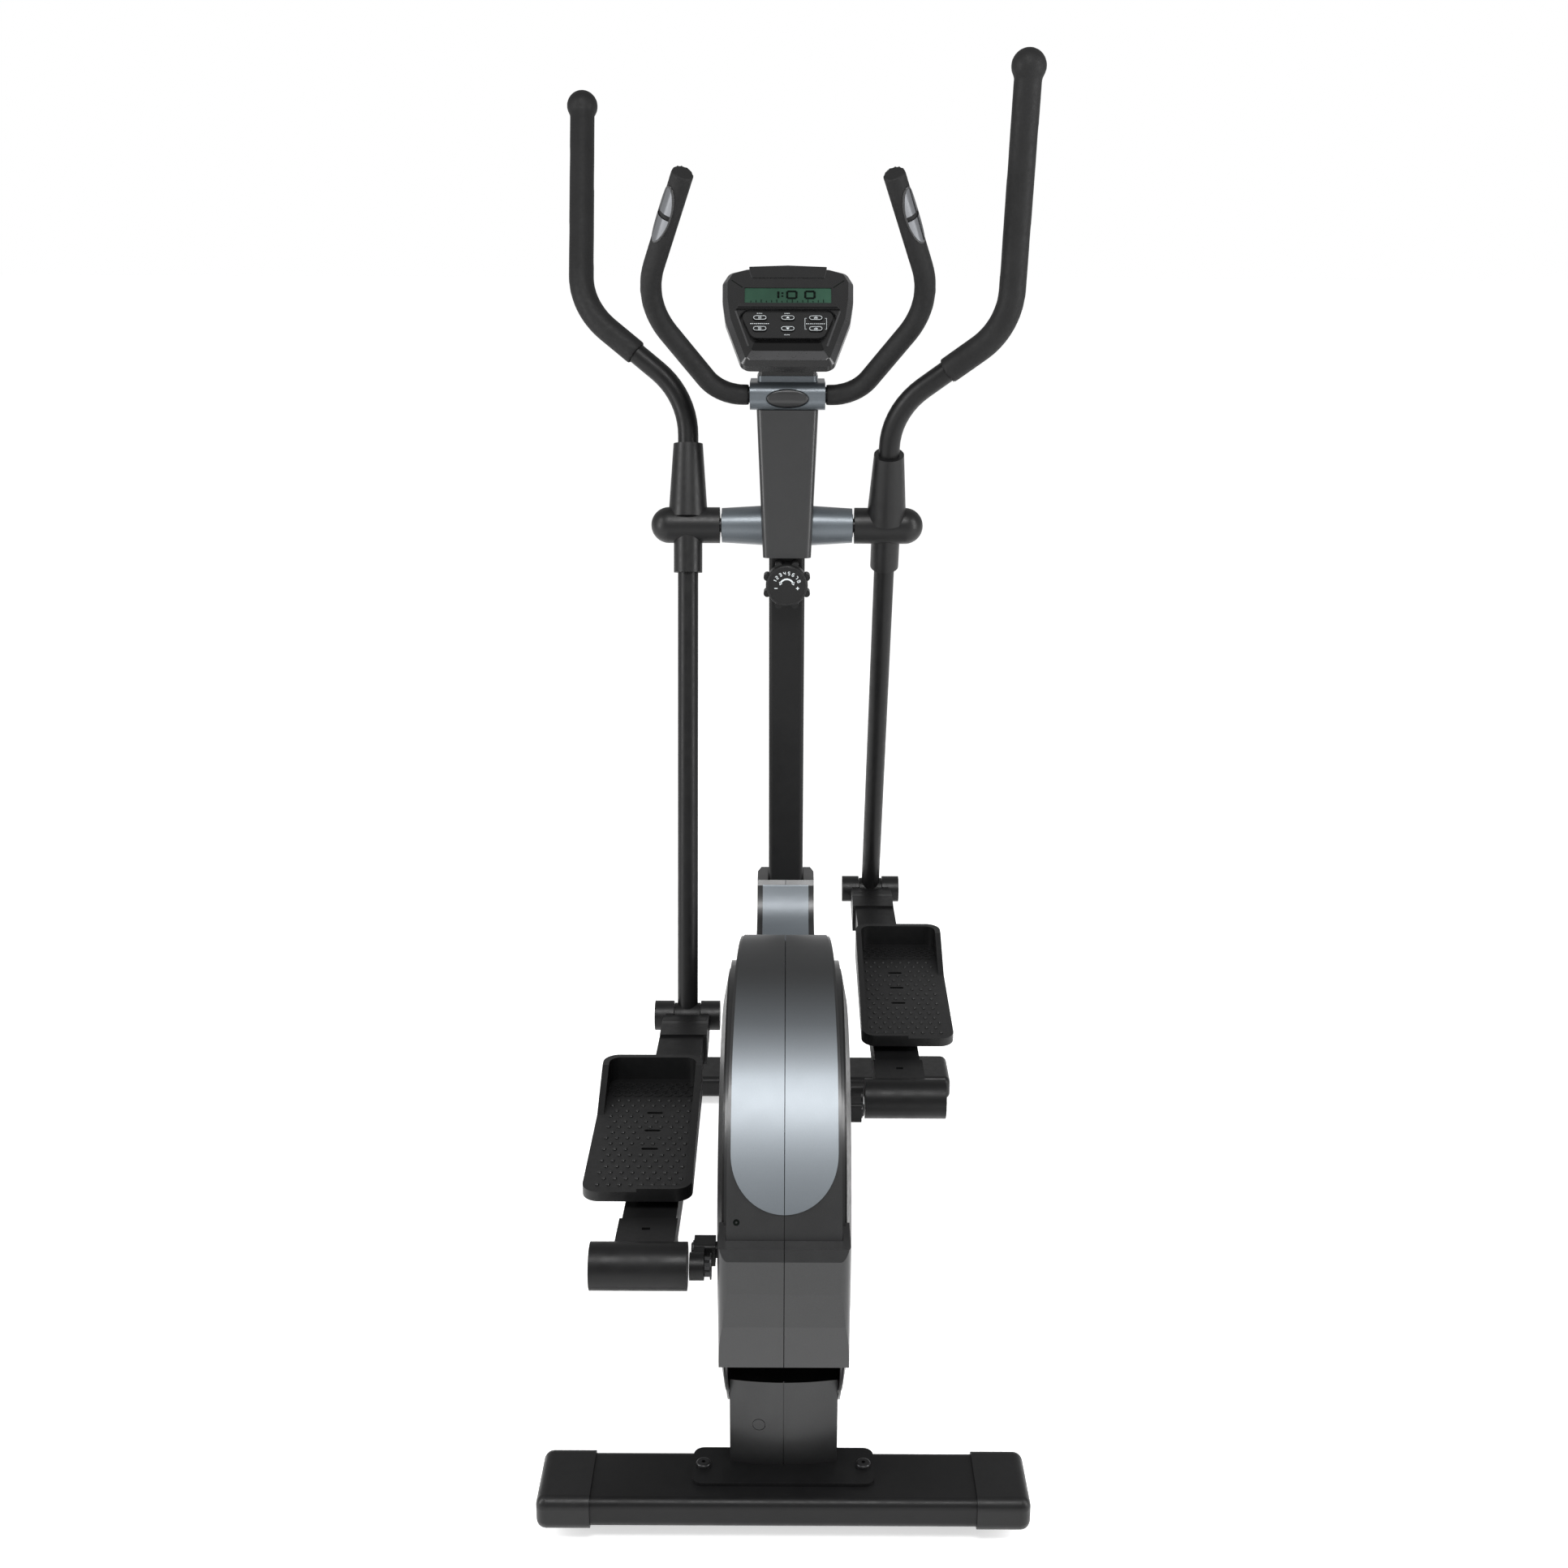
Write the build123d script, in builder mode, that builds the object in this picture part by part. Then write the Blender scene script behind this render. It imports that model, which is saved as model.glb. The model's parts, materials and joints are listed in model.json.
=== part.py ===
from build123d import *
import os
from math import acos, atan2, cos, hypot, radians, sin

# Rear-drive elliptical trainer, millimetres.
# Frame: +X to the user's right, +Y towards the front, +Z up, origin on the floor under the middle.
os.makedirs("parts", exist_ok=True)

# ---- driving dimensions ---------------------------------------------------------------------
half_length = 603.75           # from the origin to the front end caps' face and to the rear cover
wheelbase = 1060.0             # rear stabilizer to front stabilizer, centre to centre
tube_depth = 92.0              # stabilizer tube, front to back
tube_height = 36.0
tube_bottom = 19.4             # gap under the stabilizer tubes
cap_grow = 3.0                 # how far the end caps stand proud of the tubes, front and back
front_y = half_length - tube_depth / 2 - cap_grow
rear_y = front_y - wheelbase
tube_top = tube_bottom + tube_height
tube_mid = tube_bottom + tube_height / 2
wall = 2.0

crank_y = rear_y + 198.0       # crank axle
crank_z = 328.0
crank_radius = 216.0           # axle to crank pin
crank_rest = radians(-2.0)     # the right-hand crank's angle above the forward direction

pivot_y = rear_y + 796.0       # lever pivot shaft
pivot_z = 1013.0
lever_length = 693.0           # pivot to clevis pin
arm_length = 653.5             # clevis pin to crank pin
lever_x = 138.5                # lever tubes' distance from the middle plane
grip_x = 287.5                 # upper bends' distance from the middle plane

mast_y = rear_y + 800.0
mast_size = 50.0
plate_thick = 4.0
beam_bottom = tube_top + plate_thick
beam_height = 60.0
beam_width = 50.0
beam_top = beam_bottom + beam_height

disc_radius = 245.0            # round crank discs
disc_crown = 212.0             # flat middle of a disc's face
disc_inner_x = 62.6
disc_outer_x = 72.5
band_radius = 284.0            # rounded back of the casing
shoulder_radius = 255.0
shoulder_x = 64.0
recess_x = 61.8
seam = 0.4                     # half of the gap along the middle seam
skin = 2.5                     # casing wall

wheel_y = rear_y + 620.0       # flywheel
wheel_z = 300.0
wheel_radius = 118.0
pulley_radius = 130.0
small_radius = 18.0
belt_x = 30.0                  # middle of the belt's width
belt_width = 11.0
belt_thick = 3.0

foam_radius = 17.5
handle_radius = 14.0
rod_radius = 14.3

# ---- linkage at rest, from the driving dimensions -------------------------------------------


def crank_pin(side):
    """(y, z) of a crank pin at rest; side is -1 for left and +1 for right."""
    y = crank_y + side * crank_radius * cos(crank_rest)
    z = crank_z + side * crank_radius * sin(crank_rest)
    return y, z


def lever_angle(side):
    """Angle of a lever at rest, in radians: positive when its lower end is towards the back."""
    pin_y, pin_z = crank_pin(side)
    reach = hypot(pivot_y - pin_y, pivot_z - pin_z)
    to_pin = atan2(pivot_y - pin_y, pivot_z - pin_z)
    cosine = (reach**2 + lever_length**2 - arm_length**2) / (2 * reach * lever_length)
    return to_pin - acos(cosine)


def clevis(side):
    """(y, z) of a lever's clevis pin at rest."""
    angle = lever_angle(side)
    return pivot_y - lever_length * sin(angle), pivot_z - lever_length * cos(angle)


def arm_tilt(side):
    """Angle of a pedal arm at rest above the forward direction, from crank pin to clevis."""
    pin_y, pin_z = crank_pin(side)
    clevis_y, clevis_z = clevis(side)
    return atan2(clevis_z - pin_z, clevis_y - pin_y)


# ---- planes and small helpers ---------------------------------------------------------------


def side_plane(x, y=0.0, z=0.0):
    """Plane seen from the right: local x is +Y, local y is +Z, normal +X."""
    return Plane(origin=(x, y, z), x_dir=(0, 1, 0), z_dir=(1, 0, 0))


def lever_plane(side, x=0.0, along=0.0, forward=0.0):
    """Plane through the lever's pivot axis: local x is +X, local y runs up the lever."""
    angle = lever_angle(side)
    up = Vector(0, sin(angle), cos(angle))
    out = Vector(0, cos(angle), -sin(angle))
    origin = Vector(x, pivot_y, pivot_z) + up * along + out * forward
    return Plane(origin=origin, x_dir=(1, 0, 0), z_dir=-out)


def lever_section(side, x, along):
    """Plane square to the lever at a distance up it: normal runs up the lever."""
    angle = lever_angle(side)
    up = Vector(0, sin(angle), cos(angle))
    origin = Vector(x, pivot_y, pivot_z) + up * along
    return Plane(origin=origin, x_dir=(1, 0, 0), z_dir=up)


def arm_plane(side, x, ahead=0.0, above=0.0):
    """Plane in a pedal arm's side view from its crank pin: local x runs to the clevis."""
    pin_y, pin_z = crank_pin(side)
    tilt = arm_tilt(side)
    run = Vector(0, cos(tilt), sin(tilt))
    up = Vector(0, -sin(tilt), cos(tilt))
    origin = Vector(x, pin_y, pin_z) + run * ahead + up * above
    return Plane(origin=origin, x_dir=run, z_dir=(1, 0, 0))


def arm_top_plane(side, above):
    """Plane parallel to a pedal arm's top: local x is +X, local y runs to the clevis."""
    pin_y, pin_z = crank_pin(side)
    tilt = arm_tilt(side)
    up = Vector(0, -sin(tilt), cos(tilt))
    origin = Vector(0, pin_y, pin_z) + up * above
    return Plane(origin=origin, x_dir=(1, 0, 0), z_dir=up)


def crank_plane(side, x):
    """Plane in a crank's side view from the axle: local x runs out to the crank pin."""
    run = Vector(0, side * cos(crank_rest), side * sin(crank_rest))
    return Plane(origin=(x, crank_y, crank_z), x_dir=run, z_dir=(1, 0, 0))


def barrel(x_from, x_to, y, z, radius, bore=0.0, mode=Mode.ADD):
    """Round piece along X between two stations, with an optional bore."""
    low, high = sorted((x_from, x_to))
    with BuildSketch(side_plane(low, y, z)) as ring:
        Circle(radius)
        if bore:
            Circle(bore, mode=Mode.SUBTRACT)
    extrude(ring.sketch, amount=high - low, mode=mode)


def finish(piece, name):
    """Label a finished piece and write its STEP file."""
    piece.part.label = name
    export_step(piece.part, f"parts/{name}.step")


side_name = {-1: "left", 1: "right"}

# ---- stabilizers, end caps, feet, plates and bolts ------------------------------------------
tube_half = 250.0
cap_inner = 216.0
cap_outer = 276.0
foot_x = 229.0
foot_radius = 19.0
transport_x = 262.0
transport_y = front_y + 24.0
transport_z = 25.0
transport_radius = 20.0
transport_half = 8.0
stabilizer_y = (rear_y, front_y)

for name, y in zip(("rear_stabilizer", "front_stabilizer"), stabilizer_y):
    with BuildPart() as stabilizer:
        with BuildSketch(side_plane(-tube_half, y, tube_mid)):
            RectangleRounded(tube_depth, tube_height, 10)
            RectangleRounded(tube_depth - 2 * wall, tube_height - 2 * wall, 8, mode=Mode.SUBTRACT)
        extrude(amount=2 * tube_half)
    finish(stabilizer, name)

cap_parts = []
for y in stabilizer_y:
    with BuildPart() as cap:
        with BuildSketch(side_plane(cap_inner, y, tube_mid)):
            RectangleRounded(tube_depth + 2 * cap_grow, tube_height + 5, 12)
        extrude(amount=cap_outer - cap_inner)
        fillet(cap.edges().group_by(Axis.X)[-1], 11)
        with BuildSketch(side_plane(cap_inner, y, tube_mid)):
            RectangleRounded(tube_depth + 0.6, tube_height + 0.6, 10.3)
        extrude(amount=tube_half + 0.5 - cap_inner, mode=Mode.SUBTRACT)
        if y == front_y:
            slot_half = transport_half + 1.5
            slot_x = (transport_x - slot_half, transport_x + slot_half)
            barrel(*slot_x, transport_y, transport_z, transport_radius + 2.5, mode=Mode.SUBTRACT)
        mirror(about=Plane.YZ)
    cap_parts.append(cap.part)
with BuildPart() as end_caps:
    add(cap_parts)
finish(end_caps, "end_caps")

with BuildPart() as rubber_feet:
    with BuildSketch(Plane.XY):
        with Locations(*[(x, y) for x in (-foot_x, foot_x) for y in stabilizer_y]):
            Circle(foot_radius)
    extrude(amount=tube_mid - (tube_height + 5) / 2, taper=6)
finish(rubber_feet, "rubber_feet")

for side in (-1, 1):
    with BuildPart() as transport_wheel:
        barrel(
            side * transport_x - transport_half, side * transport_x + transport_half,
            transport_y, transport_z, transport_radius, bore=3.05,
        )
        fillet(transport_wheel.edges().filter_by(GeomType.CIRCLE).sort_by(SortBy.RADIUS)[-2:], 2.5)
    finish(transport_wheel, f"transport_wheel_{side_name[side]}")

plate_half = 103.0
plate_depth = 64.0
plate_offset = 13.0            # plate centre ahead of the stabilizer's centre
plate_bolt_x = 91.0
with BuildPart() as mount_plates:
    for y in stabilizer_y:
        with BuildSketch(Plane.XY.offset(tube_top)) as plate:
            with Locations((0, y + plate_offset)):
                RectangleRounded(2 * plate_half, plate_depth, 12)
        extrude(plate.sketch, amount=plate_thick)
    for y in stabilizer_y:
        with Locations((-plate_bolt_x, y + plate_offset, beam_bottom), (plate_bolt_x, y + plate_offset, beam_bottom)):
            Hole(4.3, depth=plate_thick)
finish(mount_plates, "mount_plates")

with BuildPart() as fasteners:
    for y in stabilizer_y:
        for x in (-plate_bolt_x, plate_bolt_x):
            with BuildSketch(Plane.XY.offset(beam_bottom)) as head:
                with Locations((x, y + plate_offset)):
                    Circle(8.5)
                    RegularPolygon(2.6, 6, major_radius=True, mode=Mode.SUBTRACT)
            extrude(head.sketch, amount=5)
            with BuildSketch(Plane.XY.offset(tube_top)) as shank:
                with Locations((x, y + plate_offset)):
                    Circle(4.0)
            extrude(shank.sketch, amount=plate_thick)
    fillet(fasteners.edges().group_by(Axis.Z)[-1].filter_by(GeomType.CIRCLE), 2.2)
    # transport wheel axles
    for side in (-1, 1):
        reach = transport_half + 1.5
        barrel(side * transport_x - reach, side * transport_x + reach, transport_y, transport_z, 3.0)
finish(fasteners, "fasteners")

# ---- frame: beam, crank post, flywheel fork and mast ------------------------------------------
beam_rear = rear_y + 24.0
beam_front = front_y + 26.0
with BuildPart() as main_beam:
    with BuildSketch(Plane(origin=(0, beam_rear, beam_bottom + beam_height / 2), x_dir=(-1, 0, 0), z_dir=(0, 1, 0))):
        RectangleRounded(beam_width, beam_height, 6)
        RectangleRounded(beam_width - 2 * wall, beam_height - 2 * wall, 4, mode=Mode.SUBTRACT)
    extrude(amount=beam_front - beam_rear)
finish(main_beam, "main_beam")

axle_radius = 10.0
shell_radius = 23.0            # crank bearing housing
shell_half = 24.0
post_width = 36.0
with BuildPart() as crank_post:
    with BuildSketch(Plane.XY.offset(beam_top)):
        with Locations((0, crank_y)):
            RectangleRounded(post_width, 40, 4)
    extrude(amount=crank_z - beam_top)
    barrel(-shell_half, shell_half, crank_y, crank_z, shell_radius)
    barrel(-shell_half, shell_half, crank_y, crank_z, 20.0, mode=Mode.SUBTRACT)
finish(crank_post, "crank_post")

fork_inner = 17.0
fork_thick = 4.0
fork_axle = 6.0
with BuildPart() as flywheel_fork:
    for x in (-fork_inner - fork_thick, fork_inner):
        with BuildSketch(side_plane(x, wheel_y, 0)) as cheek:
            with BuildLine():
                Polyline((-40, beam_top), (40, beam_top), (14, wheel_z), (-14, wheel_z), close=True)
            make_face()
            with Locations((0, wheel_z)):
                Circle(18)
            with Locations((0, wheel_z)):
                Circle(13, mode=Mode.SUBTRACT)
        extrude(cheek.sketch, amount=fork_thick)
    # lug that carries the magnet bracket's pivot
    lug_y = wheel_y - 30.0
    lug_z = 152.0
    for x in (-12.0, 8.0):
        with BuildSketch(side_plane(x, lug_y, 0)) as lug:
            with BuildLine():
                Polyline((-9, beam_top), (9, beam_top), (7, lug_z), (-7, lug_z), close=True)
            make_face()
            with Locations((0, lug_z)):
                Circle(7)
                Circle(3.0, mode=Mode.SUBTRACT)
        extrude(lug.sketch, amount=4)
    barrel(-12.0, 12.0, lug_y, lug_z, 3.0)
finish(flywheel_fork, "flywheel_fork")

with BuildPart() as shaft_bearings:
    for x in (-shell_half, shell_half - 12):
        barrel(x, x + 12, crank_y, crank_z, 19.95, bore=axle_radius + 0.05)
    for x in (-fork_inner - fork_thick, fork_inner):
        barrel(x, x + fork_thick, wheel_y, wheel_z, 12.95, bore=fork_axle + 0.05)
finish(shaft_bearings, "shaft_bearings")

mast_top = 1175.0
collar_x = 92.0
with BuildPart() as mast:
    with BuildSketch(Plane.XY.offset(beam_top)):
        with Locations((0, mast_y)):
            RectangleRounded(mast_size, mast_size, 6)
    extrude(amount=mast_top - beam_top)
    # round cross tube that carries the pivot shaft
    barrel(-collar_x, collar_x, pivot_y, pivot_z, 16.0)
    with BuildSketch(Plane.XY.offset(beam_top)) as inside:
        with Locations((0, mast_y)):
            RectangleRounded(mast_size - 2 * wall, mast_size - 2 * wall, 4)
    extrude(inside.sketch, amount=mast_top - beam_top, mode=Mode.SUBTRACT)
    barrel(-collar_x, collar_x, pivot_y, pivot_z, 10.0, mode=Mode.SUBTRACT)
    # cable holes at the knob and above the flywheel
    for z in (937.0, 352.0):
        with BuildSketch(Plane(origin=(0, mast_y, z), x_dir=(-1, 0, 0), z_dir=(0, -1, 0))) as hole:
            Circle(4.5)
        extrude(hole.sketch, amount=mast_size / 2 + 1, mode=Mode.SUBTRACT)
finish(mast, "mast")

pivot_reach = 178.0
with BuildPart() as pivot_shaft:
    barrel(-pivot_reach, pivot_reach, pivot_y, pivot_z, 10.0)
finish(pivot_shaft, "pivot_shaft")

# ---- crank train ------------------------------------------------------------------------------
arm_bar_inner = 63.6
arm_bar_outer = 69.9
arm_bar_end = 196.0
with BuildPart() as crank_axle:
    barrel(-arm_bar_outer, arm_bar_outer, crank_y, crank_z, axle_radius)
finish(crank_axle, "crank_axle")

with BuildPart() as drive_pulley:
    rim_x = (belt_x - belt_width / 2 - 1, belt_x + belt_width / 2 + 1)
    barrel(*rim_x, crank_y, crank_z, pulley_radius, bore=pulley_radius - 9)
    barrel(belt_x - 2, belt_x + 2, crank_y, crank_z, pulley_radius - 8, bore=axle_radius)
    barrel(shell_half + 2, rim_x[1] + 3, crank_y, crank_z, 22.0, bore=axle_radius)
    with BuildSketch(side_plane(belt_x - 3, crank_y, crank_z)) as windows:
        with PolarLocations(70, 5):
            Circle(24)
    extrude(windows.sketch, amount=6, mode=Mode.SUBTRACT)
finish(drive_pulley, "drive_pulley")

# the belt runs round both pulleys a hair above their rims
gap = 0.4
centre_run = hypot(wheel_y - crank_y, wheel_z - crank_z)
lean = atan2(wheel_z - crank_z, wheel_y - crank_y)


def belt_outline(grow):
    """Side view of a loop that runs round both pulleys, a distance above their rims."""
    big = pulley_radius + grow
    small = small_radius + grow
    spread = acos((big - small) / centre_run)
    turns = (
        (crank_y, crank_z, big, spread), (wheel_y, wheel_z, small, spread),
        (wheel_y, wheel_z, small, -spread), (crank_y, crank_z, big, -spread),
    )
    corners = [(y + r * cos(lean + turn), z + r * sin(lean + turn)) for y, z, r, turn in turns]
    with BuildSketch(side_plane(belt_x - belt_width / 2), mode=Mode.PRIVATE) as outline:
        with BuildLine():
            Polyline(*corners, close=True)
        make_face()
        with Locations((crank_y, crank_z)):
            Circle(big)
        with Locations((wheel_y, wheel_z)):
            Circle(small)
    return outline.sketch


with BuildPart() as drive_belt:
    extrude(belt_outline(gap + belt_thick), amount=belt_width)
    extrude(belt_outline(gap), amount=belt_width, mode=Mode.SUBTRACT)
finish(drive_belt, "drive_belt")

with BuildPart() as flywheel:
    barrel(-13, 13, wheel_y, wheel_z, wheel_radius, bore=wheel_radius - 22)
    barrel(-4, 4, wheel_y, wheel_z, wheel_radius - 21, bore=fork_axle)
    barrel(-13, 13, wheel_y, wheel_z, 20, bore=fork_axle)
finish(flywheel, "flywheel")

with BuildPart() as flywheel_axle:
    barrel(-24, belt_x + 7, wheel_y, wheel_z, fork_axle)
    barrel(belt_x - 6, belt_x + 6, wheel_y, wheel_z, small_radius)
finish(flywheel_axle, "flywheel_axle")

# magnet bracket: a curved yoke under the flywheel, hinged at its rear end
with BuildPart() as magnet_bracket:
    with BuildSketch(side_plane(-7, wheel_y, wheel_z)) as yoke:
        with BuildLine():
            start, sweep_angle = -104.0, 92.0
            outer = CenterArc((0, 0), wheel_radius + 12, start, sweep_angle)
            inner = CenterArc((0, 0), wheel_radius + 7, start, sweep_angle)
            Line(outer @ 0, inner @ 0)
            Line(outer @ 1, inner @ 1)
        make_face()
        with Locations((lug_y - wheel_y, lug_z - wheel_z)):
            Circle(7)
            Circle(3.05, mode=Mode.SUBTRACT)
        with BuildLine():
            Polyline((-34, -144), (-26, -144), (-26, -124), (-34, -124), close=True)
        make_face()
        with Locations((lug_y - wheel_y, lug_z - wheel_z)):
            Circle(3.05, mode=Mode.SUBTRACT)
    extrude(yoke.sketch, amount=14)
    # four magnets on the inner face
    for turn in (-88, -68, -48, -28):
        pad = Plane(
            origin=(-7, wheel_y + (wheel_radius + 4.8) * cos(radians(turn)),
                    wheel_z + (wheel_radius + 4.8) * sin(radians(turn))),
            x_dir=(0, cos(radians(turn)), sin(radians(turn))), z_dir=(1, 0, 0),
        )
        with BuildSketch(pad) as magnet:
            Rectangle(5, 22)
        extrude(magnet.sketch, amount=14)
finish(magnet_bracket, "magnet_bracket")

# ---- casing -----------------------------------------------------------------------------------
belly_z = 122.0                # underside of the casing's front
collar_z = 494.0               # top of the collar round the mast
front_reach = mast_y + 46.0
notch_front = rear_y + 112.0   # open recess at the lower back, in front of it the leg cover
notch_top = 250.0


def casing_profile(grow):
    """Side view of the casing, grown by a distance."""
    with BuildSketch(side_plane(0), mode=Mode.PRIVATE) as profile:
        with BuildLine():
            back = CenterArc((crank_y, crank_z), band_radius + grow, 50, 240)
            crest = (sin(radians(50)), -cos(radians(50)))
            saddle = (rear_y + 690, 432 + grow)
            top = Spline(back @ 0, (rear_y + 560, 440 + grow), saddle, tangents=(crest, (1, 0)))
            rise = Spline(top @ 1, (mast_y - 31 - grow, 487), tangents=((1, 0), (0.3, 1)))
            Polyline(
                rise @ 1, (mast_y - 26, collar_z + grow), (front_reach - 14, collar_z + grow),
                (front_reach + grow, collar_z - 14), (front_reach + grow, belly_z - grow),
                (rear_y + 500, belly_z - grow), back @ 1,
            )
        make_face()
    return profile.sketch


def casing_plan(grow):
    """Plan view of the casing, grown by a distance: half-width tapers towards the front."""
    with BuildSketch(Plane.XY, mode=Mode.PRIVATE) as plan:
        with BuildLine():
            flank = Spline(
                (60.8 + grow, rear_y - 110), (57 + grow, rear_y + 134), (48 + grow, rear_y + 424),
                (41.5 + grow, front_reach - 34),
            )
            Polyline(flank @ 1, (33 + grow, front_reach + grow), (0, front_reach + grow))
            Line((0, rear_y - 110), flank @ 0)
            mirror(about=Plane.YZ)
        make_face()
    return plan.sketch


# solid body first, then hollowed
with BuildPart() as casing_body:
    extrude(casing_profile(0), amount=80, both=True)
    extrude(casing_plan(0), amount=800, both=True, mode=Mode.INTERSECT)
with BuildPart() as casing_hollow:
    extrude(casing_profile(-skin), amount=80, both=True)
    extrude(casing_plan(-skin), amount=800, both=True, mode=Mode.INTERSECT)
    barrel(-59.3, 59.3, crank_y, crank_z, shoulder_radius - skin)
with BuildPart() as casing:
    add(casing_body.part)
    barrel(-shoulder_x, shoulder_x, crank_y, crank_z, shoulder_radius)
    for side in (-1, 1):
        barrel(side * recess_x, side * 80, crank_y, crank_z, disc_radius + 3.5, mode=Mode.SUBTRACT)
    add(casing_hollow.part, mode=Mode.SUBTRACT)
    barrel(-80, 80, crank_y, crank_z, 16, mode=Mode.SUBTRACT)
    # room for the frame beam, the crank post, the mast and the open recess at the back
    with Locations((0, mast_y / 2, (beam_bottom + beam_top) / 2)):
        Box(beam_width + 1, 1600, beam_height + 2, mode=Mode.SUBTRACT)
    with Locations((0, crank_y, beam_top + 30)):
        Box(post_width + 2, 46, 80, mode=Mode.SUBTRACT)
    with Locations((0, wheel_y, beam_top + 5)):
        Box(beam_width + 1, 90, 30, mode=Mode.SUBTRACT)
    with Locations((0, mast_y, 300)):
        Box(mast_size + 2, mast_size + 2, 420, mode=Mode.SUBTRACT)
    with Locations((0, (notch_front + rear_y - 110) / 2, (notch_top + 30) / 2)):
        Box(2 * recess_x, notch_front - rear_y + 110, notch_top - 30, mode=Mode.SUBTRACT)

for side in (-1, 1):
    with BuildPart() as casing_half:
        add(casing.part)
        with Locations((side * (50 + seam), 0, 330)):
            Box(100, 1400, 700, mode=Mode.INTERSECT)
    finish(casing_half, f"casing_{side_name[side]}")

# lighter inserts: the long strip over the round back and the panel below the mast
insert = 1.5
strip_half = 56.5
strip_low = 428.0
with BuildPart() as strip_band:
    extrude(casing_profile(insert), amount=80, both=True)
    extrude(casing_profile(0), amount=80, both=True, mode=Mode.SUBTRACT)
with BuildPart() as casing_strips:
    add(strip_band.part)
    extrude(casing_plan(-3), amount=800, both=True, mode=Mode.INTERSECT)
    with BuildSketch(Plane(origin=(0, rear_y - 110, 0), x_dir=(-1, 0, 0), z_dir=(0, 1, 0))) as slot:
        with Locations((0, strip_low + strip_half)):
            Circle(strip_half)
        with Locations((0, strip_low + strip_half + 150)):
            Rectangle(2 * strip_half, 300)
    extrude(slot.sketch, amount=760, mode=Mode.INTERSECT)
    with Locations((0, rear_y + 100, 520)):
        Box(2 * seam, 1200, 400, mode=Mode.SUBTRACT)
with BuildPart() as boot_panel:
    add(strip_band.part)
    with Locations((0, mast_y - 70, 458)):
        Box(67, 84, 60, mode=Mode.INTERSECT)
with BuildPart() as inserts:
    add(casing_strips.part)
    add(boot_panel.part)
finish(inserts, "casing_inserts")

# rear cover: two halves wrapped over the round back
cover_half = 69.0
cover_low = 257.0
cover_high = 402.0
cover_back = rear_y - 98.5
cover_root = rear_y - 12.0
with BuildPart() as cover_body:
    with BuildSketch(side_plane(-cover_half)) as cover_side:
        with BuildLine():
            Polyline(
                (rear_y - 87, cover_low), (cover_back + 2, cover_low + 55), (cover_back, cover_low + 95),
                (cover_back, cover_high - 12), (cover_back + 5, cover_high), (cover_root, cover_high),
                (cover_root, cover_low), close=True,
            )
        make_face()
    extrude(cover_side.sketch, amount=2 * cover_half)
    with BuildSketch(Plane.XY.offset(cover_low)) as cover_plan:
        with Locations((0, cover_back + 60)):
            RectangleRounded(2 * cover_half, 120, 11)
    extrude(cover_plan.sketch, amount=cover_high - cover_low, mode=Mode.INTERSECT)
    barrel(-61.2, 61.2, crank_y, crank_z, band_radius + 0.3, mode=Mode.SUBTRACT)
    barrel(-shoulder_x - 0.3, shoulder_x + 0.3, crank_y, crank_z, shoulder_radius + 0.3, mode=Mode.SUBTRACT)
    barrel(-80, 80, crank_y, crank_z, disc_radius + 3.5, mode=Mode.SUBTRACT)
    # seam between the two halves
    with Locations((0, cover_back + 50, (cover_low + cover_high) / 2)):
        Box(2 * seam, 110, 200, mode=Mode.SUBTRACT)
finish(cover_body, "rear_cover")

# leg cover over the front of the beam's rear end, inside the recess
leg_top = 168.0
with BuildPart() as leg_cover:
    with BuildSketch(Plane.XY.offset(beam_bottom)) as leg_plan:
        with BuildLine():
            ThreePointArc((-61, rear_y + 20), (0, rear_y + 13.5), (61, rear_y + 20))
            Polyline((61, rear_y + 20), (61, rear_y + 104), (-61, rear_y + 104), (-61, rear_y + 20))
        make_face()
    extrude(leg_plan.sketch, amount=leg_top - beam_bottom)
    with BuildSketch(Plane.XY.offset(beam_bottom - 1)) as leg_inside:
        with Locations((0, rear_y + 66)):
            Rectangle(116, 86)
    extrude(leg_inside.sketch, amount=leg_top - beam_bottom - 2, mode=Mode.SUBTRACT)
    with Locations((0, rear_y + 14, 110)):
        Box(1.0, 4, 140, mode=Mode.SUBTRACT)
    with BuildSketch(Plane(origin=(-28, rear_y + 10, 112), x_dir=(-1, 0, 0), z_dir=(0, 1, 0))) as plug:
        Circle(7.5)
        Circle(6.8, mode=Mode.SUBTRACT)
    extrude(plug.sketch, amount=6.5, mode=Mode.SUBTRACT)
finish(leg_cover, "leg_cover")

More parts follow.
